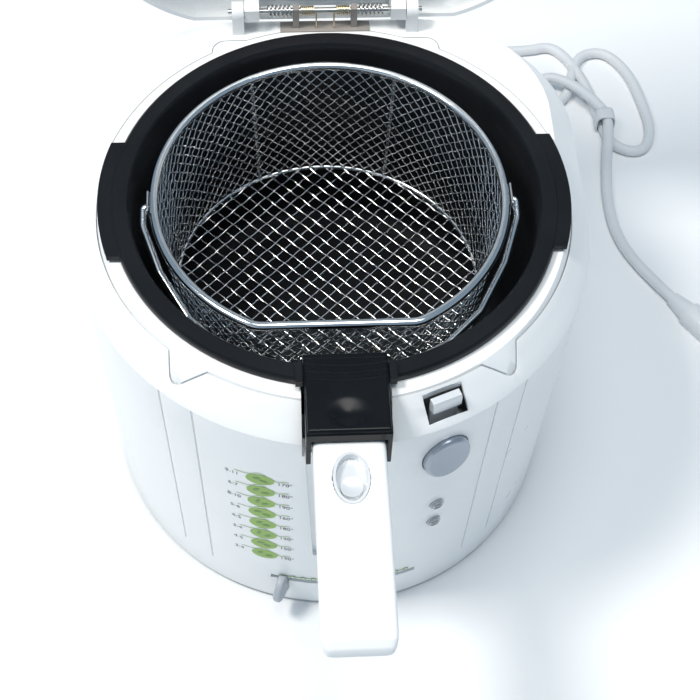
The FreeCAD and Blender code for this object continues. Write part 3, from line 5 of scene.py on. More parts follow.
import json
import logging
import math
from dataclasses import dataclass, field
from enum import Enum
from typing import Callable, Sequence

import bpy
import numpy as np
from mathutils import Matrix

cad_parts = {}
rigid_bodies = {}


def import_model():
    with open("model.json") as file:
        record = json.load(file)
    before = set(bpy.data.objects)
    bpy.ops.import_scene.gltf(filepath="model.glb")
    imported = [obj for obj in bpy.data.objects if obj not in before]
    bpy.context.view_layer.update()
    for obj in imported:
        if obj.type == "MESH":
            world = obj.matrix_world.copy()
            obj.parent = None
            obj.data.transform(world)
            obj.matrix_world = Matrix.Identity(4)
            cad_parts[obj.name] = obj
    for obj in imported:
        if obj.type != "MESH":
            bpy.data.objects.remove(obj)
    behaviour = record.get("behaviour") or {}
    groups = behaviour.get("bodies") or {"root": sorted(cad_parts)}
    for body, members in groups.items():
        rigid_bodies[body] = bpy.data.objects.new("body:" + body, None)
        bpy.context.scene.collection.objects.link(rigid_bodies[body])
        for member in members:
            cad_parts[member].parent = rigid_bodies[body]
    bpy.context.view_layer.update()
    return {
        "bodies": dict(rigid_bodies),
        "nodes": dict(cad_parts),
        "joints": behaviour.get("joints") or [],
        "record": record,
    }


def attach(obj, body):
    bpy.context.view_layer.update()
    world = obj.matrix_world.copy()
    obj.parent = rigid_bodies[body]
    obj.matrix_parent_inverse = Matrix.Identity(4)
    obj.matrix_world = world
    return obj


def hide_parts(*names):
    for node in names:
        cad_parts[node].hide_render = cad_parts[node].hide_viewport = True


LOG = logging.getLogger("deep_fryer")
MM = 0.001
Array = np.ndarray


class Body(str, Enum):
    """Names of the moving bodies that pieces ride on."""

    HOUSING = "body"
    HANDLE = "handle"
    BASKET = "basket"
    LEVER = "lever"
    LID = "lid"
    CARRIER = "carrier"


def new_object(name: str, data: bpy.types.ID) -> bpy.types.Object:
    """Links a new object with the given data into the scene."""
    obj = bpy.data.objects.new(name, data)
    bpy.context.scene.collection.objects.link(obj)
    return obj


def mesh_from_arrays(name: str, points: Array, faces: Array, smooth: bool = True) -> bpy.types.Object:
    """Makes a mesh object from arrays.

    Args:
        name: The piece's name.
        points: Vertices in millimetres, one row each.
        faces: Vertex numbers of each face, one row each.
        smooth: Whether the faces are shaded smooth.

    Returns:
        The new object, at the origin.
    """
    mesh = bpy.data.meshes.new(name)
    mesh.from_pydata((np.asarray(points, dtype=float) * MM).tolist(), [], np.asarray(faces).tolist())
    mesh.polygons.foreach_set("use_smooth", np.full(len(mesh.polygons), smooth))
    mesh.update()
    return new_object(name, mesh)


def grid_faces(rows: int, columns: int, wrap_columns: bool = False, wrap_rows: bool = False) -> Array:
    """Quads of a grid of rows by columns, with either direction closed on itself.

    Args:
        rows: Number of points along the first parameter.
        columns: Number of points along the second parameter.
        wrap_columns: Whether the last column joins the first.
        wrap_rows: Whether the last row joins the first.

    Returns:
        One row of four vertex numbers for each quad.
    """
    i, j = np.meshgrid(
        np.arange(rows if wrap_rows else rows - 1),
        np.arange(columns if wrap_columns else columns - 1),
        indexing="ij",
    )
    i2, j2 = (i + 1) % rows, (j + 1) % columns
    quads = np.stack([i * columns + j, i * columns + j2, i2 * columns + j2, i2 * columns + j], axis=-1)
    return quads.reshape(-1, 4)


def tubes(paths: Array, radius: float, sides: int = 6) -> tuple[Array, Array]:
    """Carries a ring of points along many paths at once.

    Each ring lies across the path's own direction, found from the difference of its neighbours.

    Args:
        paths: Centre lines in millimetres, as wires by steps by three.
        radius: The wire's radius in millimetres.
        sides: Number of points round the wire.

    Returns:
        Vertices and quads of all the tubes.
    """
    wires, steps, _ = paths.shape
    ahead = np.gradient(paths, axis=1)
    ahead /= np.linalg.norm(ahead, axis=2, keepdims=True)
    helper = np.where(np.abs(ahead[..., 2:3]) > 0.9, np.array([1.0, 0, 0]), np.array([0, 0, 1.0]))
    side = np.cross(ahead, helper)
    side /= np.linalg.norm(side, axis=2, keepdims=True)
    up = np.cross(side, ahead)
    angle = np.linspace(0, 2 * np.pi, sides, endpoint=False)
    ring = side[..., None, :] * np.cos(angle)[:, None] + up[..., None, :] * np.sin(angle)[:, None]
    points = paths[..., None, :] + radius * ring
    one = grid_faces(steps, sides, wrap_columns=True)[:, ::-1]
    faces = one[None] + (np.arange(wires) * steps * sides)[:, None, None]
    return points.reshape(-1, 3), faces.reshape(-1, 4)


class NodeGroups:
    """Shader node groups that several finishes share."""

    def __init__(self) -> None:
        self.grain = self.build_grain()

    @staticmethod
    def build_grain() -> bpy.types.NodeTree:
        """Builds a group of coarse and fine noise: a mottle from 0 to 1 and a height for bumps."""
        tree = bpy.data.node_groups.new("surface_grain", "ShaderNodeTree")
        inputs = (("Vector", "NodeSocketVector"), ("Coarse", "NodeSocketFloat"), ("Fine", "NodeSocketFloat"))
        for name, kind in inputs:
            tree.interface.new_socket(name, in_out="INPUT", socket_type=kind)
        for name in ("Mottle", "Height"):
            tree.interface.new_socket(name, in_out="OUTPUT", socket_type="NodeSocketFloat")
        inside = tree.nodes.new("NodeGroupInput")
        outside = tree.nodes.new("NodeGroupOutput")
        for name, output, detail in (("Coarse", "Mottle", 3.0), ("Fine", "Height", 2.0)):
            noise = tree.nodes.new("ShaderNodeTexNoise")
            noise.inputs["Detail"].default_value = detail
            tree.links.new(inside.outputs["Vector"], noise.inputs["Vector"])
            tree.links.new(inside.outputs[name], noise.inputs["Scale"])
            tree.links.new(noise.outputs["Fac"], outside.inputs[output])
        return tree


Colour = tuple[float, float, float]
COAT_ROUGHNESS = 0.08
MOTTLE_RANGE = (0.3, 0.7)
LEAST_ROUGHNESS = 0.02
BUMP_DISTANCE = 0.0002


@dataclass(frozen=True)
class Finish:
    """A surface finish: colour and its mottle, gloss, metal, and the grain's scales per metre."""

    name: str
    colour: Colour
    roughness: float = 0.4
    metallic: float = 0.0
    coat: float = 0.0
    shade: float = 0.94
    coarse: float = 30.0
    fine: float = 900.0
    bump: float = 0.05
    roughness_spread: float = 0.06
    specular: float = 0.5

    def material(self, groups: NodeGroups) -> bpy.types.Material:
        """Builds the node material.

        Args:
            groups: The shared node groups.

        Returns:
            A material with the Principled shader in its own tree.
        """
        material = bpy.data.materials.new(self.name)
        material.use_nodes = True
        tree = material.node_tree
        shader = tree.nodes["Principled BSDF"]
        shader.inputs["Metallic"].default_value = self.metallic
        shader.inputs["Coat Weight"].default_value = self.coat
        shader.inputs["Coat Roughness"].default_value = COAT_ROUGHNESS
        shader.inputs["Specular IOR Level"].default_value = self.specular
        place = tree.nodes.new("ShaderNodeTexCoord")
        grain = tree.nodes.new("ShaderNodeGroup")
        grain.node_tree = groups.grain
        grain.inputs["Coarse"].default_value = self.coarse
        grain.inputs["Fine"].default_value = self.fine
        tree.links.new(place.outputs["Object"], grain.inputs["Vector"])
        ramp = tree.nodes.new("ShaderNodeValToRGB")
        ramp.color_ramp.elements[0].position = MOTTLE_RANGE[0]
        ramp.color_ramp.elements[1].position = MOTTLE_RANGE[1]
        ramp.color_ramp.elements[0].color = (*[c * self.shade for c in self.colour], 1)
        ramp.color_ramp.elements[1].color = (*self.colour, 1)
        tree.links.new(grain.outputs["Mottle"], ramp.inputs["Fac"])
        tree.links.new(ramp.outputs["Color"], shader.inputs["Base Color"])
        spread = tree.nodes.new("ShaderNodeMapRange")
        spread.inputs["To Min"].default_value = max(LEAST_ROUGHNESS, self.roughness - self.roughness_spread)
        spread.inputs["To Max"].default_value = self.roughness + self.roughness_spread
        tree.links.new(grain.outputs["Mottle"], spread.inputs["Value"])
        tree.links.new(spread.outputs["Result"], shader.inputs["Roughness"])
        bump = tree.nodes.new("ShaderNodeBump")
        bump.inputs["Strength"].default_value = self.bump
        bump.inputs["Distance"].default_value = BUMP_DISTANCE
        tree.links.new(grain.outputs["Height"], bump.inputs["Height"])
        tree.links.new(bump.outputs["Normal"], shader.inputs["Normal"])
        return material


FINISHES: dict[str, Finish] = {
    "white_plastic": Finish("white_plastic", (0.86, 0.87, 0.87), 0.3, coat=0.15, shade=0.985, bump=0.0),
    "black_enamel": Finish("black_enamel", (0.008, 0.009, 0.011), 0.33, shade=0.75, bump=0.03, specular=0.2),
    "black_plastic": Finish("black_plastic", (0.004, 0.005, 0.007), 0.27, shade=0.75, bump=0.0, specular=0.2),
    "steel": Finish("steel", (0.58, 0.58, 0.57), 0.3, metallic=1.0, shade=0.85),
    "dark_steel": Finish("dark_steel", (0.33, 0.30, 0.28), 0.5, metallic=0.1, shade=0.9),
    "chrome_wire": Finish("chrome_wire", (0.74, 0.75, 0.76), 0.13, metallic=1.0, shade=0.92, bump=0.01),
    "silver_paint": Finish("silver_paint", (0.36, 0.40, 0.46), 0.3, metallic=0.6, shade=0.92, fine=1800.0),
    "brass_wire": Finish("brass_wire", (0.70, 0.60, 0.40), 0.28, metallic=1.0, shade=0.8),
    "aluminium": Finish("aluminium", (0.80, 0.81, 0.82), 0.4, metallic=0.55, shade=0.93),
    "grey_plastic": Finish("grey_plastic", (0.30, 0.31, 0.32), 0.5, shade=0.9),
    "rubber": Finish("rubber", (0.03, 0.03, 0.03), 0.75, shade=0.8, bump=0.2),
    "lens": Finish("lens", (0.50, 0.51, 0.52), 0.2, coat=0.5, shade=0.9),
    "cord_plastic": Finish("cord_plastic", (0.76, 0.77, 0.78), 0.42, shade=0.95),
    "filter_mat": Finish("filter_mat", (0.62, 0.62, 0.60), 0.9, shade=0.8, bump=0.4),
    "lever_plastic": Finish("lever_plastic", (0.42, 0.45, 0.49), 0.4, shade=0.95, bump=0.0),
    "print_green": Finish("print_green", (0.26, 0.45, 0.07), 0.4, shade=0.93),
    "print_moss": Finish("print_moss", (0.14, 0.27, 0.06), 0.4, shade=0.9),
    "print_grey": Finish("print_grey", (0.10, 0.11, 0.12), 0.45, shade=0.9),
    "bright_silver": Finish("bright_silver", (0.78, 0.80, 0.82), 0.3, metallic=0.35, shade=0.95, bump=0.0),
}


class Palette:
    """Makes each finish's material once."""

    def __init__(self) -> None:
        self.groups = NodeGroups()
        self.made: dict[str, bpy.types.Material] = {}

    def get(self, name: str) -> bpy.types.Material:
        """Gives the material of a finish by its name."""
        if name not in self.made:
            self.made[name] = FINISHES[name].material(self.groups)
        return self.made[name]

    def dress(self, obj: bpy.types.Object, name: str) -> None:
        """Puts one finish on the whole of an object."""
        material = self.get(name)
        if not obj.material_slots:
            obj.data.materials.append(material)
        for slot in obj.material_slots:
            slot.material = material


@dataclass
class Frame:
    """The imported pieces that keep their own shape, each in its record's finish or a brighter one."""

    palette: Palette
    packed: dict = field(default_factory=dict)
    bright: tuple[str, ...] = ("release_bezel", "handle_release", "lid_latch")
    join: float = 0.00001
    edge: float = 0.0005
    wide_edge: float = 0.0012
    sharp: float = 50.0

    def build(self) -> None:
        """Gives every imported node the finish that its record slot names."""
        slots = {s["node"]: s["material_slot"] for s in self.packed["record"]["subparts"]}
        for name, obj in self.packed["nodes"].items():
            self.palette.dress(obj, "bright_silver" if name in self.bright else slots[name])
            self.soften(obj)
            LOG.info("dressed %s", name)

    def soften(self, obj: bpy.types.Object) -> None:
        """Joins a node's loose triangles for shading and rounds its sharp edges a little."""
        weld = obj.modifiers.new("join", "WELD")
        weld.merge_threshold = self.join
        bevel = obj.modifiers.new("edge", "BEVEL")
        bevel.width = self.wide_edge if obj.name.startswith("basket_carrier") else self.edge
        bevel.segments = 3
        bevel.limit_method = "ANGLE"
        bevel.angle_limit = math.radians(self.sharp)
        bevel.harden_normals = False


@dataclass
class Wall:
    """The housing's leaning front wall, for prints that lie on it. Millimetres."""

    half_width: float = 139.5
    front_reach: float = 143.0
    base_inset: float = 6.5
    height: float = 196.0
    lift: float = 0.12

    def at(self, azimuth: Array, z: Array, layer: int = 0) -> Array:
        """Points just outside the wall.

        The wall's plan is an arc about a centre a little in front of the pot's axis. The angle about
        that centre is the azimuth plus the arcsine of the centre's offset times its sine over the radius.

        Args:
            azimuth: Angle from straight ahead about the pot's axis, in radians.
            z: Height in millimetres.
            layer: How many prints lie under this one.

        Returns:
            Points in millimetres, one row each.
        """
        centre = self.front_reach - self.half_width
        radius = self.half_width - self.base_inset * (1 - z / self.height) + self.lift * (1 + layer)
        angle = azimuth + np.arcsin(centre * np.sin(azimuth) / radius)
        return np.stack([radius * np.sin(angle), -centre - radius * np.cos(angle), z], axis=-1)


@dataclass
class Prints:
    """Marks printed on the housing: a food chart with plain numbers, a scale line and bars on the lamps."""

    palette: Palette
    wall: Wall = field(default_factory=Wall)
    oval_count: int = 8
    oval_top: float = 149.5
    oval_low: float = 57.0
    oval_azimuth: float = -18.3
    oval_width: float = 16.0
    oval_height: float = 10.8
    oval_tilt: float = 16.0
    food_size: tuple[float, float] = (4.6, 2.2)
    line_width: float = 0.5
    letter: float = 4.4
    lefts: tuple[str, ...] = ("9-11", "6-7", "8-10", "5-6", "4-5", "3-4", "4-5", "3-4")
    rights: tuple[str, ...] = ("170°", "180°", "190°", "160°", "180°", "190°", "150°", "190°")
    left_turn: float = -6.4
    right_turn: float = 5.5
    lamp_azimuth: float = 21.7
    lamp_heights: tuple[float, float] = (109.0, 88.0)
    lamp_layer: int = 18
    lamp_bar: tuple[float, float, float] = (2.0, 1.4, 0.9)
    scale_z: float = 32.4
    scale_azimuth: float = 0.8
    scale_half: float = 38.5
    scale_width: float = 0.7
    ring_ends: tuple[float, float] = (-11.5, 16.4)
    ring_count: int = 12
    ring_outer: tuple[float, float] = (3.6, 3.0)
    ring_inner: tuple[float, float] = (2.2, 1.6)
    reach: float = 139.0

    def flat(self, name: str, u: Array, v: Array, faces: Array, azimuth: float, z: float, finish: str,
             layer: int = 0) -> None:
        """Wraps a flat print, given by its across and up coordinates, onto the wall.

        Args:
            name: The piece's name.
            u: Coordinates across, in millimetres.
            v: Coordinates up, in millimetres.
            faces: Vertex numbers of each face.
            azimuth: Where the print's middle lies, in degrees.
            z: Height of the print's middle.
            finish: Name of the print's finish.
            layer: How many prints lie under this one.
        """
        points = self.wall.at(np.radians(azimuth) + u / self.reach, z + v, layer)
        obj = mesh_from_arrays(name, points, faces, smooth=False)
        self.palette.dress(obj, finish)
        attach(obj, Body.HOUSING.value)
        LOG.info("printed %s", name)

    def ribbon(self, name: str, u: Array, v: Array, width: Array, azimuth: float, z: float, finish: str,
               layer: int = 0) -> None:
        """Prints a line of changing width along a path across and up the wall."""
        du, dv = np.gradient(u), np.gradient(v)
        size = np.hypot(du, dv)
        nu, nv = -dv / size, du / size
        across = np.stack([u - nu * width / 2, u + nu * width / 2], axis=1).ravel()
        up = np.stack([v - nv * width / 2, v + nv * width / 2], axis=1).ravel()
        self.flat(name, across, up, grid_faces(len(u), 2)[:, ::-1], azimuth, z, finish, layer)

    def disc(self, name: str, width: float, height: float, tilt: float, azimuth: float, z: float, finish: str,
             layer: int = 0) -> None:
        """Prints a tilted oval as rings of points from its middle to its edge."""
        rings, spokes = 4, 32
        radius, turn = np.meshgrid(
            np.linspace(0.02, 1, rings), np.linspace(0, 2 * np.pi, spokes, endpoint=False), indexing="ij"
        )
        a, b = radius * np.cos(turn) * width / 2, radius * np.sin(turn) * height / 2
        c, s = math.cos(math.radians(tilt)), math.sin(math.radians(tilt))
        faces = grid_faces(rings, spokes, wrap_columns=True)[:, ::-1]
        self.flat(name, (a * c - b * s).ravel(), (a * s + b * c).ravel(), faces, azimuth, z, finish, layer)

    def words(self, name: str, text: str, size: float, azimuth: float, z: float) -> None:
        """Prints plain numbers from the built-in font, wrapped onto the wall."""
        curve = bpy.data.curves.new(name, "FONT")
        curve.body = text
        curve.size = size
        curve.align_x = "CENTER"
        curve.align_y = "CENTER"
        holder = new_object(f"{name}_text", curve)
        bpy.context.view_layer.update()
        flat = bpy.data.meshes.new_from_object(holder.evaluated_get(bpy.context.evaluated_depsgraph_get()))
        points = np.empty(len(flat.vertices) * 3)
        flat.vertices.foreach_get("co", points)
        points = points.reshape(-1, 3)
        flat.calc_loop_triangles()
        triangles = np.empty(len(flat.loop_triangles) * 3, dtype=int)
        flat.loop_triangles.foreach_get("vertices", triangles)
        bpy.data.objects.remove(holder)
        self.flat(name, points[:, 0], points[:, 1], triangles.reshape(-1, 3), azimuth, z, "print_grey")

    def chart(self) -> None:
        """Prints each row of the chart: an oval, two food marks, a crested line and a number at each side."""
        u = np.linspace(-14.0, 15.5, 40)
        crest = 3.0 + 4.2 * np.exp(-((u / 4.6) ** 2)) - 1.6 * np.exp(-(((u - 9.6) / 2.2) ** 2))
        width = np.full(len(u), self.line_width)
        middle = self.oval_azimuth
        for index, z in enumerate(np.linspace(self.oval_top, self.oval_low, self.oval_count)):
            self.disc(f"chart_oval_{index}", self.oval_width, self.oval_height, self.oval_tilt, middle, z,
                      "print_green")
            for side, turn in ((-1, 20), (1, -10)):
                aside = side * (0.8 + 0.2 * (index % 2))
                self.disc(f"chart_food_{index}_{side}", *self.food_size, turn + 25 * (index % 3),
                          middle + aside, z - side * 0.9, "print_moss", 1)
            self.ribbon(f"chart_line_{index}", u, crest, width, middle, z, "print_green")
            left, right = middle + self.left_turn, middle + self.right_turn
            self.words(f"chart_left_{index}", self.lefts[index], self.letter, left, z - 0.8)
            self.words(f"chart_right_{index}", self.rights[index], self.letter, right, z - 0.6)

    def lamp_bars(self) -> None:
        """Prints two short bars on each lamp's lens."""
        half, apart, width = self.lamp_bar
        mark = np.linspace(-half, half, 5)
        for height in self.lamp_heights:
            for side in (-1, 1):
                self.ribbon(f"lamp_mark_{height:.0f}_{side}", mark, 0 * mark + apart * side, 0 * mark + width,
                            self.lamp_azimuth, height, "print_grey", self.lamp_layer)

    def scale(self) -> None:
        """Prints the thermostat's scale: a line with a row of rings."""
        t = np.linspace(-1, 1, 50)
        self.ribbon("scale_line", self.scale_half * t, 0 * t, self.scale_width + 0 * t, self.scale_azimuth,
                    self.scale_z, "print_green")
        for index, azimuth in enumerate(np.linspace(*self.ring_ends, self.ring_count)):
            place = (0, azimuth, self.scale_z)
            self.disc(f"scale_ring_{index}", *self.ring_outer, *place, "print_green", 1)
            self.disc(f"scale_ring_inner_{index}", *self.ring_inner, *place, "white_plastic", 2)

    def build(self) -> None:
        """Prints the chart, the bars on the lamps and the thermostat's scale."""
        self.chart()
        self.lamp_bars()
        self.scale()


@dataclass
class Lever:
    """The thermostat's lever: an arm, a coin-like fin outside the wall and a shutter behind its slot."""

    palette: Palette
    azimuth: float = -14.0
    height: float = 28.0
    reach: float = 137.3
    fin_out: float = 2.5
    fin_z: float = 22.8
    fin_half: tuple[float, float, float] = (2.5, 10.0, 10.4)
    fin_turn: float = 10.0
    fin_clear: float = 0.9
    shutter_radius: float = 133.2
    shutter_half: tuple[float, float] = (34.0, 2.6)

    def turned(self, points: Array) -> Array:
        """Turns points that were laid out straight ahead to where the lever rests."""
        c, s = math.cos(math.radians(self.azimuth)), math.sin(math.radians(self.azimuth))
        flat = points.reshape(-1, 3)
        return flat @ np.array([[c, s, 0], [-s, c, 0], [0, 0, 1]])

    def fin(self) -> tuple[Array, Array]:
        """The fin's surface: an oval swept round, with flat sides and a rounded edge."""
        turn, across = np.meshgrid(
            np.linspace(0, 2 * np.pi, 64, endpoint=False),
            np.linspace(-np.pi / 2, np.pi / 2, 25),
            indexing="ij",
        )
        size = np.abs(np.cos(across)) ** 0.25
        thick = self.fin_half[0] * np.sign(np.sin(across)) * np.abs(np.sin(across)) ** 0.5
        out = self.fin_half[1] * size * np.cos(turn)
        c, s = math.cos(math.radians(self.fin_turn)), math.sin(math.radians(self.fin_turn))
        x = thick * c - out * s
        y = np.minimum(-self.reach - self.fin_out - out * c - thick * s, -self.reach - self.fin_clear)
        z = self.fin_z + self.fin_half[2] * size * np.sin(turn)
        return self.turned(np.stack([x, y, z], axis=2)), grid_faces(64, 25, wrap_rows=True)

    def shutter(self) -> tuple[Array, Array]:
        """A band round the pot's axis that keeps the slot shut wherever the lever stands."""
        turn, up = np.meshgrid(np.radians(np.linspace(-self.shutter_half[0], self.shutter_half[0], 40)),
                               np.array([-1.0, 1.0]), indexing="ij")
        x, y = self.shutter_radius * np.sin(turn), -self.shutter_radius * np.cos(turn)
        points = np.stack([x, y, self.height + self.shutter_half[1] * up], axis=2)
        return self.turned(points), grid_faces(40, 2)

    def arm(self) -> tuple[Array, Array]:
        """A rounded bar from the hub at the spindle out to the fin."""
        turn, along = np.meshgrid(
            np.linspace(0, 2 * np.pi, 20, endpoint=False), np.linspace(0, 1, 30), indexing="ij"
        )
        wide = 3.0 + 4.0 * np.exp(-((along * self.reach / 7.0) ** 2))
        x = wide * np.cos(turn)
        y = 6.8 - (self.reach + self.fin_out + 6.8) * along
        z = self.height + 1.15 * np.sign(np.sin(turn)) * np.abs(np.sin(turn)) ** 0.5
        return self.turned(np.stack([x, y, z], axis=2)), grid_faces(20, 30, wrap_rows=True)[:, ::-1]

    def build(self) -> None:
        """Builds the lever's three pieces on its own body."""
        pieces = (
            ("lever_fin", self.fin(), "lever_plastic"),
            ("lever_shutter", self.shutter(), "white_plastic"),
            ("lever_arm", self.arm(), "lever_plastic"),
        )
        for name, (points, faces), finish in pieces:
            obj = mesh_from_arrays(name, points, faces)
            self.palette.dress(obj, finish)
            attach(obj, Body.LEVER.value)
            if name != "lever_shutter":
                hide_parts("thermostat_lever")
            else:
                wall = obj.modifiers.new("wall", "SOLIDIFY")
                wall.thickness = 0.0008
            LOG.info("built %s", name)


@dataclass
class Basket:
    """The basket's woven wire cloth: two families of waved wires round the side and two across the floor."""

    palette: Palette
    centre: tuple[float, float] = (-2.5, 3.0)
    rim_radius: float = 94.0
    rim_chord: float = 84.4
    floor_radius: float = 87.0
    floor_chord: float = 77.6
    top_z: float = 213.6
    floor_z: float = 134.6
    wire: float = 0.5
    count: int = 84
    twist: float = 46.0
    pitch: float = 7.0

    def plan(self, angle: Array, radius: Array, chord: Array) -> Array:
        """Points on the basket's plan: a circle cut off by a straight front."""
        y = np.sin(angle)
        cut = np.where(y < -0.05, chord / np.maximum(-y, 0.05), 1e9)
        reach = np.minimum(radius, cut)
        return np.stack([self.centre[0] + reach * np.cos(angle), self.centre[1] + reach * y], axis=-1)

    def side_wires(self) -> Array:
        """Paths of the side's wires, waved in and out where they cross."""
        t = np.linspace(0, 1, 25)
        paths = []
        for sign in (1, -1):
            start = np.arange(self.count) * 2 * np.pi / self.count
            angle = start[:, None] + sign * np.radians(self.twist) * (t - 0.5)
            crossing = np.sin((t * 2 * self.twist / 360 * self.count + 0.25) * np.pi)
            wave = sign * 0.45 * crossing
            radius = self.rim_radius + (self.floor_radius - self.rim_radius) * t + wave
            chord = self.rim_chord + (self.floor_chord - self.rim_chord) * t + wave
            flat = self.plan(angle, np.broadcast_to(radius, angle.shape), np.broadcast_to(chord, angle.shape))
            z = np.broadcast_to(self.top_z + (self.floor_z - self.top_z) * t, angle.shape)
            paths.append(np.concatenate([flat, z[..., None]], axis=2))
        return np.concatenate(paths)

    def floor_wires(self) -> Array:
        """Paths of the floor's wires: chords of the plan at 45 degrees, waved up and down."""
        most = int(self.floor_radius / self.pitch)
        offset = np.arange(-most, most + 1) * self.pitch
        offset = offset[np.abs(offset) < self.floor_radius * 0.97]
        t = np.linspace(0, 1, 41)
        paths = []
        for slope, sign in ((45.0, 1), (135.0, -1)):
            c, s = math.cos(math.radians(slope)), math.sin(math.radians(slope))
            half = np.sqrt(self.floor_radius**2 - offset**2)
            low, high = -half, half.copy()
            edge = (-self.floor_chord - offset * c) / s
            low = np.maximum(low, edge)
            keep = high - low > 6
            run = low[keep, None] + (high - low)[keep, None] * t
            side = offset[keep, None]
            x = self.centre[0] + run * c - side * s
            y = self.centre[1] + run * s + side * c
            z = self.floor_z + sign * 0.45 * np.sin(run / self.pitch * np.pi)
            paths.append(np.stack([x, y, z], axis=2))
        return np.concatenate(paths)

    def build(self) -> None:
        """Builds the cloth in two pieces that stand for the frame's plain wires."""
        cloths = (("basket_side_cloth", self.side_wires()), ("basket_floor_cloth", self.floor_wires()))
        for name, paths in cloths:
            obj = mesh_from_arrays(name, *tubes(paths, self.wire, 6))
            self.palette.dress(obj, "chrome_wire")
            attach(obj, Body.BASKET.value)
            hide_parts("basket_mesh")
            LOG.info("wove %s", name)


@dataclass
class Grip:
    """The folding handle's grip: a flat bar with rounded edges and an oval thumb hollow."""

    palette: Palette
    root_y: float = -141.4
    end_y: float = -255.8
    half_width: float = 17.9
    oval_y: float = -171.5
    oval_half: tuple[float, float] = (9.1, 14.1)
    oval_floor: float = 210.2

    def spine(self, t: Array) -> tuple[Array, Array, Array]:
        """Length, top and underside of the side view, from the pivot to the rounded tip.

        Args:
            t: Share of the length, 0 at the pivot.

        Returns:
            Y, the top's height and the underside's height.
        """
        y = self.root_y + (self.end_y - self.root_y) * t
        ys = np.array([-256.0, -254.6, -251.0, -240.0, -201.0, -175.0, -152.6, -147.0, -143.0, -141.4])
        tops = np.array([202.0, 206.0, 208.6, 210.6, 216.2, 216.3, 215.5, 213.6, 210.0, 207.0])
        lows = np.array([201.0, 198.6, 197.0, 197.2, 199.0, 197.8, 196.8, 197.0, 199.0, 203.0])
        return y, np.interp(y, ys, tops), np.interp(y, ys, lows)

    def build(self) -> None:
        """Builds the grip as rings of a rounded rectangle along its length, hollowed on top."""
        rows, columns = 240, 200
        t = np.linspace(0, 1, rows)
        y, top, low = self.spine(t)
        angle = np.linspace(0, 2 * np.pi, 6001)
        power = 0.22
        cx = np.sign(np.cos(angle)) * np.abs(np.cos(angle)) ** power
        cz = np.sign(np.sin(angle)) * np.abs(np.sin(angle)) ** (power * 1.4)
        step = np.hypot(np.diff(cx) * self.half_width, np.diff(cz) * self.half_width / 2)
        length = np.concatenate([[0.0], np.cumsum(step)])
        even = np.linspace(0, length[-1], columns, endpoint=False)
        cx, cz = np.interp(even, length, cx), np.interp(even, length, cz)
        tip = np.clip((y - self.end_y) / 9.0, 0, 1)
        half = self.half_width * (0.72 + 0.28 * np.sqrt(1 - (1 - tip) ** 2))
        x = half[:, None] * cx
        middle, rise = (top + low) / 2, (top - low) / 2
        z = middle[:, None] + rise[:, None] * cz
        yy = np.broadcast_to(y[:, None], x.shape)
        inside = 1 - (x / self.oval_half[0]) ** 2 - ((yy - self.oval_y) / self.oval_half[1]) ** 2
        z = np.where((cz > 0.2) & (inside > 0), np.minimum(z, self.oval_floor), z)
        points = np.stack([x, yy, z], axis=2).reshape(-1, 3)
        caps = np.array([points[:columns].mean(axis=0), points[-columns:].mean(axis=0)])
        body = grid_faces(rows, columns, wrap_columns=True)
        ring = np.arange(columns)
        follow = (ring + 1) % columns
        count = rows * columns
        first = np.stack([np.full(columns, count), follow, ring], axis=1)
        start = count - columns
        last = np.stack([np.full(columns, count + 1), start + ring, start + follow], axis=1)
        mesh = bpy.data.meshes.new("grip")
        mesh.from_pydata((np.vstack([points, caps]) * MM).tolist(), [],
                         body.tolist() + first.tolist() + last.tolist())
        mesh.polygons.foreach_set("use_smooth", np.full(len(mesh.polygons), True))
        mesh.update()
        obj = new_object("grip", mesh)
        self.palette.dress(obj, "white_plastic")
        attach(obj, Body.HANDLE.value)
        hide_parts("handle_shell")
        LOG.info("built grip")


@dataclass
class Cover:
    """The skin on the basket carrier's plate: a soft thumb hollow and steps that follow the pot's rim."""

    palette: Palette
    half_width: float = 20.6
    front: float = 151.4
    back: float = 107.6
    base: float = 223.35
    thick: float = 2.0
    hollow: tuple[float, float, float] = (140.5, 11.5, 9.5)
    steps: tuple[float, ...] = (113.0, 117.5, 122.0)
    edge: float = 1.6

    def relief(self, x: Array, y: Array) -> Array:
        """Height of the skin above the plate, from nothing to its full thickness.

        Args:
            x: Coordinates across, in millimetres.
            y: Distance in front of the pot's axis, in millimetres.

        Returns:
            Heights in millimetres.
        """
        reach = np.hypot(x, y)
        share = sum(1 / (1 + np.exp(-(reach - step) / 0.25)) for step in self.steps) / len(self.steps)
        middle, wide, deep = self.hollow
        spread = np.hypot(x / wide, (y - middle) / deep)
        hollow = 0.5 + 0.5 * np.cos(np.pi * np.clip(spread, 0, 1))
        border = np.minimum(self.half_width - np.abs(x), np.minimum(self.front - y, y - self.back))
        rounding = np.sqrt(1 - (1 - np.clip(border / self.edge, 0, 1)) ** 2)
        return self.thick * (0.35 + 0.65 * share) * (1 - 0.9 * hollow) * rounding

    def build(self) -> None:
        """Builds the skin on the carrier."""
        rows, columns = 150, 160
        x, y = np.meshgrid(np.linspace(-self.half_width, self.half_width, rows),
                           np.linspace(self.back, self.front, columns), indexing="ij")
        points = np.stack([x, -y, self.base + self.relief(x, y)], axis=2).reshape(-1, 3)
        obj = mesh_from_arrays("carrier_cover", points, grid_faces(rows, columns))
        self.palette.dress(obj, "black_plastic")
        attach(obj, Body.CARRIER.value)
        LOG.info("built carrier cover")


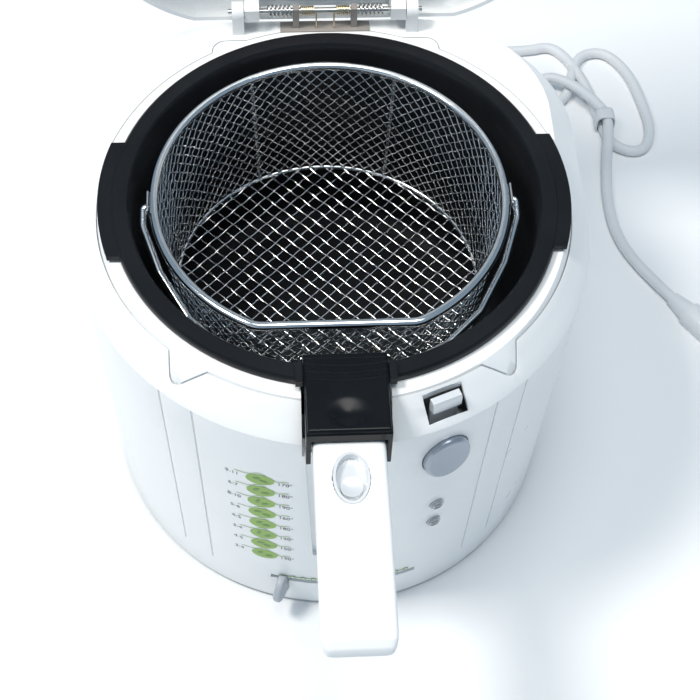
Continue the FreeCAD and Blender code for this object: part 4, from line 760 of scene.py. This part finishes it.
@dataclass
class HingePanel:
    """The white edge of the lid that shows below the hinge's shaft when the lid stands open."""

    palette: Palette
    half: tuple[float, float, float] = (37.4, 0.8, 4.2)
    centre: tuple[float, float, float] = (0.0, 137.0, 219.4)

    def build(self) -> None:
        """Builds the panel as a rounded box on the lid."""
        turn, rise = np.meshgrid(
            np.linspace(0, 2 * np.pi, 48, endpoint=False),
            np.linspace(-np.pi / 2, np.pi / 2, 17),
            indexing="ij",
        )
        ring = np.stack([np.cos(rise) * np.cos(turn), np.sin(rise), np.cos(rise) * np.sin(turn)], axis=2)
        box = np.sign(ring) * np.abs(ring) ** 0.12
        points = (np.array(self.centre) + box * np.array(self.half)).reshape(-1, 3)
        obj = mesh_from_arrays("hinge_panel", points, grid_faces(48, 17, wrap_rows=True), smooth=False)
        self.palette.dress(obj, "white_plastic")
        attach(obj, Body.LID.value)
        LOG.info("built hinge panel")


@dataclass
class Lead:
    """The mains lead: one curve from the strain relief through the tied hank to the plug. Millimetres."""

    palette: Palette
    packed: dict
    radius: float = 3.8
    length: float = 0.82
    run: Sequence[tuple[float, float, float]] = (
        (45, 172.5, 30), (45, 206.5, 30), (49, 240.5, 9.8), (61, 274.5, 0.8), (85, 300.5, 0.8),
        (121, 316, 0.8), (166, 316, 0.8),
    )
    hank: Sequence[tuple[float, float, float]] = (
        (184, 321, 0.8), (196, 308, 0.8), (204, 288, 0.8), (210, 264, 0.8), (213, 240, 0.8), (219, 217, 0.8),
        (240, 211, 0.8), (250, 232, 0.8), (247, 262, 0.8), (241, 292, 0.8), (226, 314, 0.8), (206, 311, 0.8),
        (197, 290, 0.8), (192, 268, 0.8), (176, 258, 0.8), (166, 270, 3.0), (174, 283, 8.7), (192, 276, 8.7),
        (206, 261, 8.7), (217, 243, 8.7),
    )
    tail: Sequence[tuple[float, float, float]] = (
        (215, 222, 8.7), (211, 200, 3.0), (207, 164, 0.8), (210, 132, 0.8), (223, 104, 0.8), (240, 80, 0.8),
    )

    def build(self) -> None:
        route = [*self.run, *self.hank, *self.tail]
        curve = bpy.data.curves.new("mains_lead", "CURVE")
        curve.dimensions = "3D"
        curve.bevel_depth = self.radius * MM
        curve.bevel_resolution = 5
        curve.use_fill_caps = True
        spline = curve.splines.new("NURBS")
        spline.points.add(len(route) - 1)
        spline.points.foreach_set("co", np.array([(*p, 1000.0) for p in route]).ravel() * MM)
        spline.order_u = 3
        spline.use_endpoint_u = True
        spline.resolution_u = 12
        lead = new_object("mains_lead", curve)
        self.palette.dress(lead, "cord_plastic")
        tie = self.tie()
        for obj in (lead, tie):
            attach(obj, Body.HOUSING.value)
        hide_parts("cord_tube", "cord_hank", "cord_tail")
        LOG.info("laid mains lead")

    def tie(self) -> bpy.types.Object:
        """Builds the band round the hank: a rounded closed strip round both layers of the lead."""
        u = np.linspace(0, 2 * np.pi, 48, endpoint=False)
        v = np.linspace(-1, 1, 7)
        uu, vv = np.meshgrid(u, v, indexing="ij")
        power = 0.55
        half_x, half_z, centre = 6.4 + 0.25 * (1 - vv**2), 8.1 + 0.25 * (1 - vv**2), (215.0, 240.0, 4.9)
        x = centre[0] + half_x * np.sign(np.cos(uu)) * np.abs(np.cos(uu)) ** power
        z = centre[2] + half_z * np.sign(np.sin(uu)) * np.abs(np.sin(uu)) ** power
        y = centre[1] + 5.0 * vv
        points = np.stack([x, y, np.maximum(z, -2.4)], axis=2).reshape(-1, 3)
        obj = mesh_from_arrays("lead_tie", points, grid_faces(48, 7, wrap_rows=True)[:, ::-1])
        wall = obj.modifiers.new("wall", "SOLIDIFY")
        wall.thickness = 0.001
        wall.offset = 0
        self.palette.dress(obj, "cord_plastic")
        return obj


@dataclass
class Studio:
    """Floor, lights, world and the camera of the photograph."""

    lens: float = 80.23
    sensor: float = 36.0
    location: tuple[float, float, float] = (-36.9, -531.6, 866.8)
    right: Colour = (0.9983, -0.0513, 0.02705)
    up: Colour = (0.0277, 0.8315, 0.5550)
    forward: Colour = (0.0509, 0.5533, -0.8315)
    table: float = -3.0
    aim: tuple[float, float, float] = (0.0, 0.0, 0.15)
    sky: Colour = (0.58, 0.79, 1.0)
    sky_strength: float = 0.42
    warm: Colour = (1.0, 0.975, 0.93)

    def camera(self) -> None:
        """Places the camera from its measured axes."""
        data = bpy.data.cameras.new("camera")
        data.lens = self.lens
        data.sensor_width = self.sensor
        data.clip_end = 20
        obj = new_object("camera", data)
        axes = np.array([self.right, self.up, [-c for c in self.forward]]).T
        matrix = np.eye(4)
        matrix[:3, :3] = axes
        matrix[:3, 3] = np.array(self.location) * MM
        obj.matrix_world = Matrix(matrix.tolist())
        bpy.context.scene.camera = obj

    def lamp(self, name: str, at: Sequence[float], size: float, power: float, target: Sequence[float],
             colour: Colour) -> None:
        """Adds a square area lamp of one colour at a point in metres, aimed at another."""
        data = bpy.data.lights.new(name, "AREA")
        data.size = size
        data.energy = power
        data.color = colour
        obj = new_object(name, data)
        back = np.array(at) - np.array(target)
        back = back / np.linalg.norm(back)
        side = np.cross([0.0, 0.0, 1.0], back)
        side = side / np.linalg.norm(side)
        matrix = np.eye(4)
        matrix[:3, 0], matrix[:3, 1], matrix[:3, 2], matrix[:3, 3] = side, np.cross(back, side), back, at
        obj.matrix_world = Matrix(matrix.tolist())

    def floor(self) -> None:
        """Makes the pale floor, white to the camera and with the object's shadow kept."""
        size = np.linspace(-4000, 4000, 3)
        x, y = np.meshgrid(size, size, indexing="ij")
        points = np.stack([x, y, np.full_like(x, self.table)], axis=2).reshape(-1, 3)
        obj = mesh_from_arrays("floor", points, grid_faces(3, 3)[:, ::-1], smooth=False)
        material = bpy.data.materials.new("floor")
        material.use_nodes = True
        tree = material.node_tree
        shader = tree.nodes["Principled BSDF"]
        shader.inputs["Base Color"].default_value = (0.93, 0.93, 0.93, 1)
        shader.inputs["Roughness"].default_value = 0.9
        obj.data.materials.append(material)

    def world(self) -> None:
        """Lights the scene softly from all round, with a white backdrop."""
        world = bpy.data.worlds.new("studio")
        world.use_nodes = True
        background = world.node_tree.nodes["Background"]
        background.inputs["Color"].default_value = (*self.sky, 1)
        background.inputs["Strength"].default_value = self.sky_strength
        bpy.context.scene.world = world

    def build(self) -> None:
        """Sets up camera, floor, world and three soft lamps."""
        self.camera()
        self.floor()
        self.world()
        self.lamp("key", (-0.85, -0.1, 1.75), 0.4, 23.0, self.aim, self.warm)
        self.lamp("top", (0.12, -0.14, 2.0), 0.8, 17.0, self.aim, self.warm)
        self.lamp("fill", (-0.9, -1.3, 0.8), 0.9, 0.5, self.aim, self.warm)
        bpy.context.scene.view_settings.view_transform = "Standard"


def main() -> None:
    """Loads the frame and builds each sub-assembly in order."""
    logging.basicConfig(level=logging.INFO, format="%(message)s")
    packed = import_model()
    palette = Palette()
    builders: list[Callable[[], None]] = [
        Frame(palette, packed).build,
        Prints(palette).build,
        Lever(palette).build,
        Basket(palette).build,
        Grip(palette).build,
        Cover(palette).build,
        HingePanel(palette).build,
        Lead(palette, packed).build,
        Studio().build,
    ]
    for build in builders:
        build()
    bpy.context.view_layer.update()


if __name__ == "__main__":
    main()
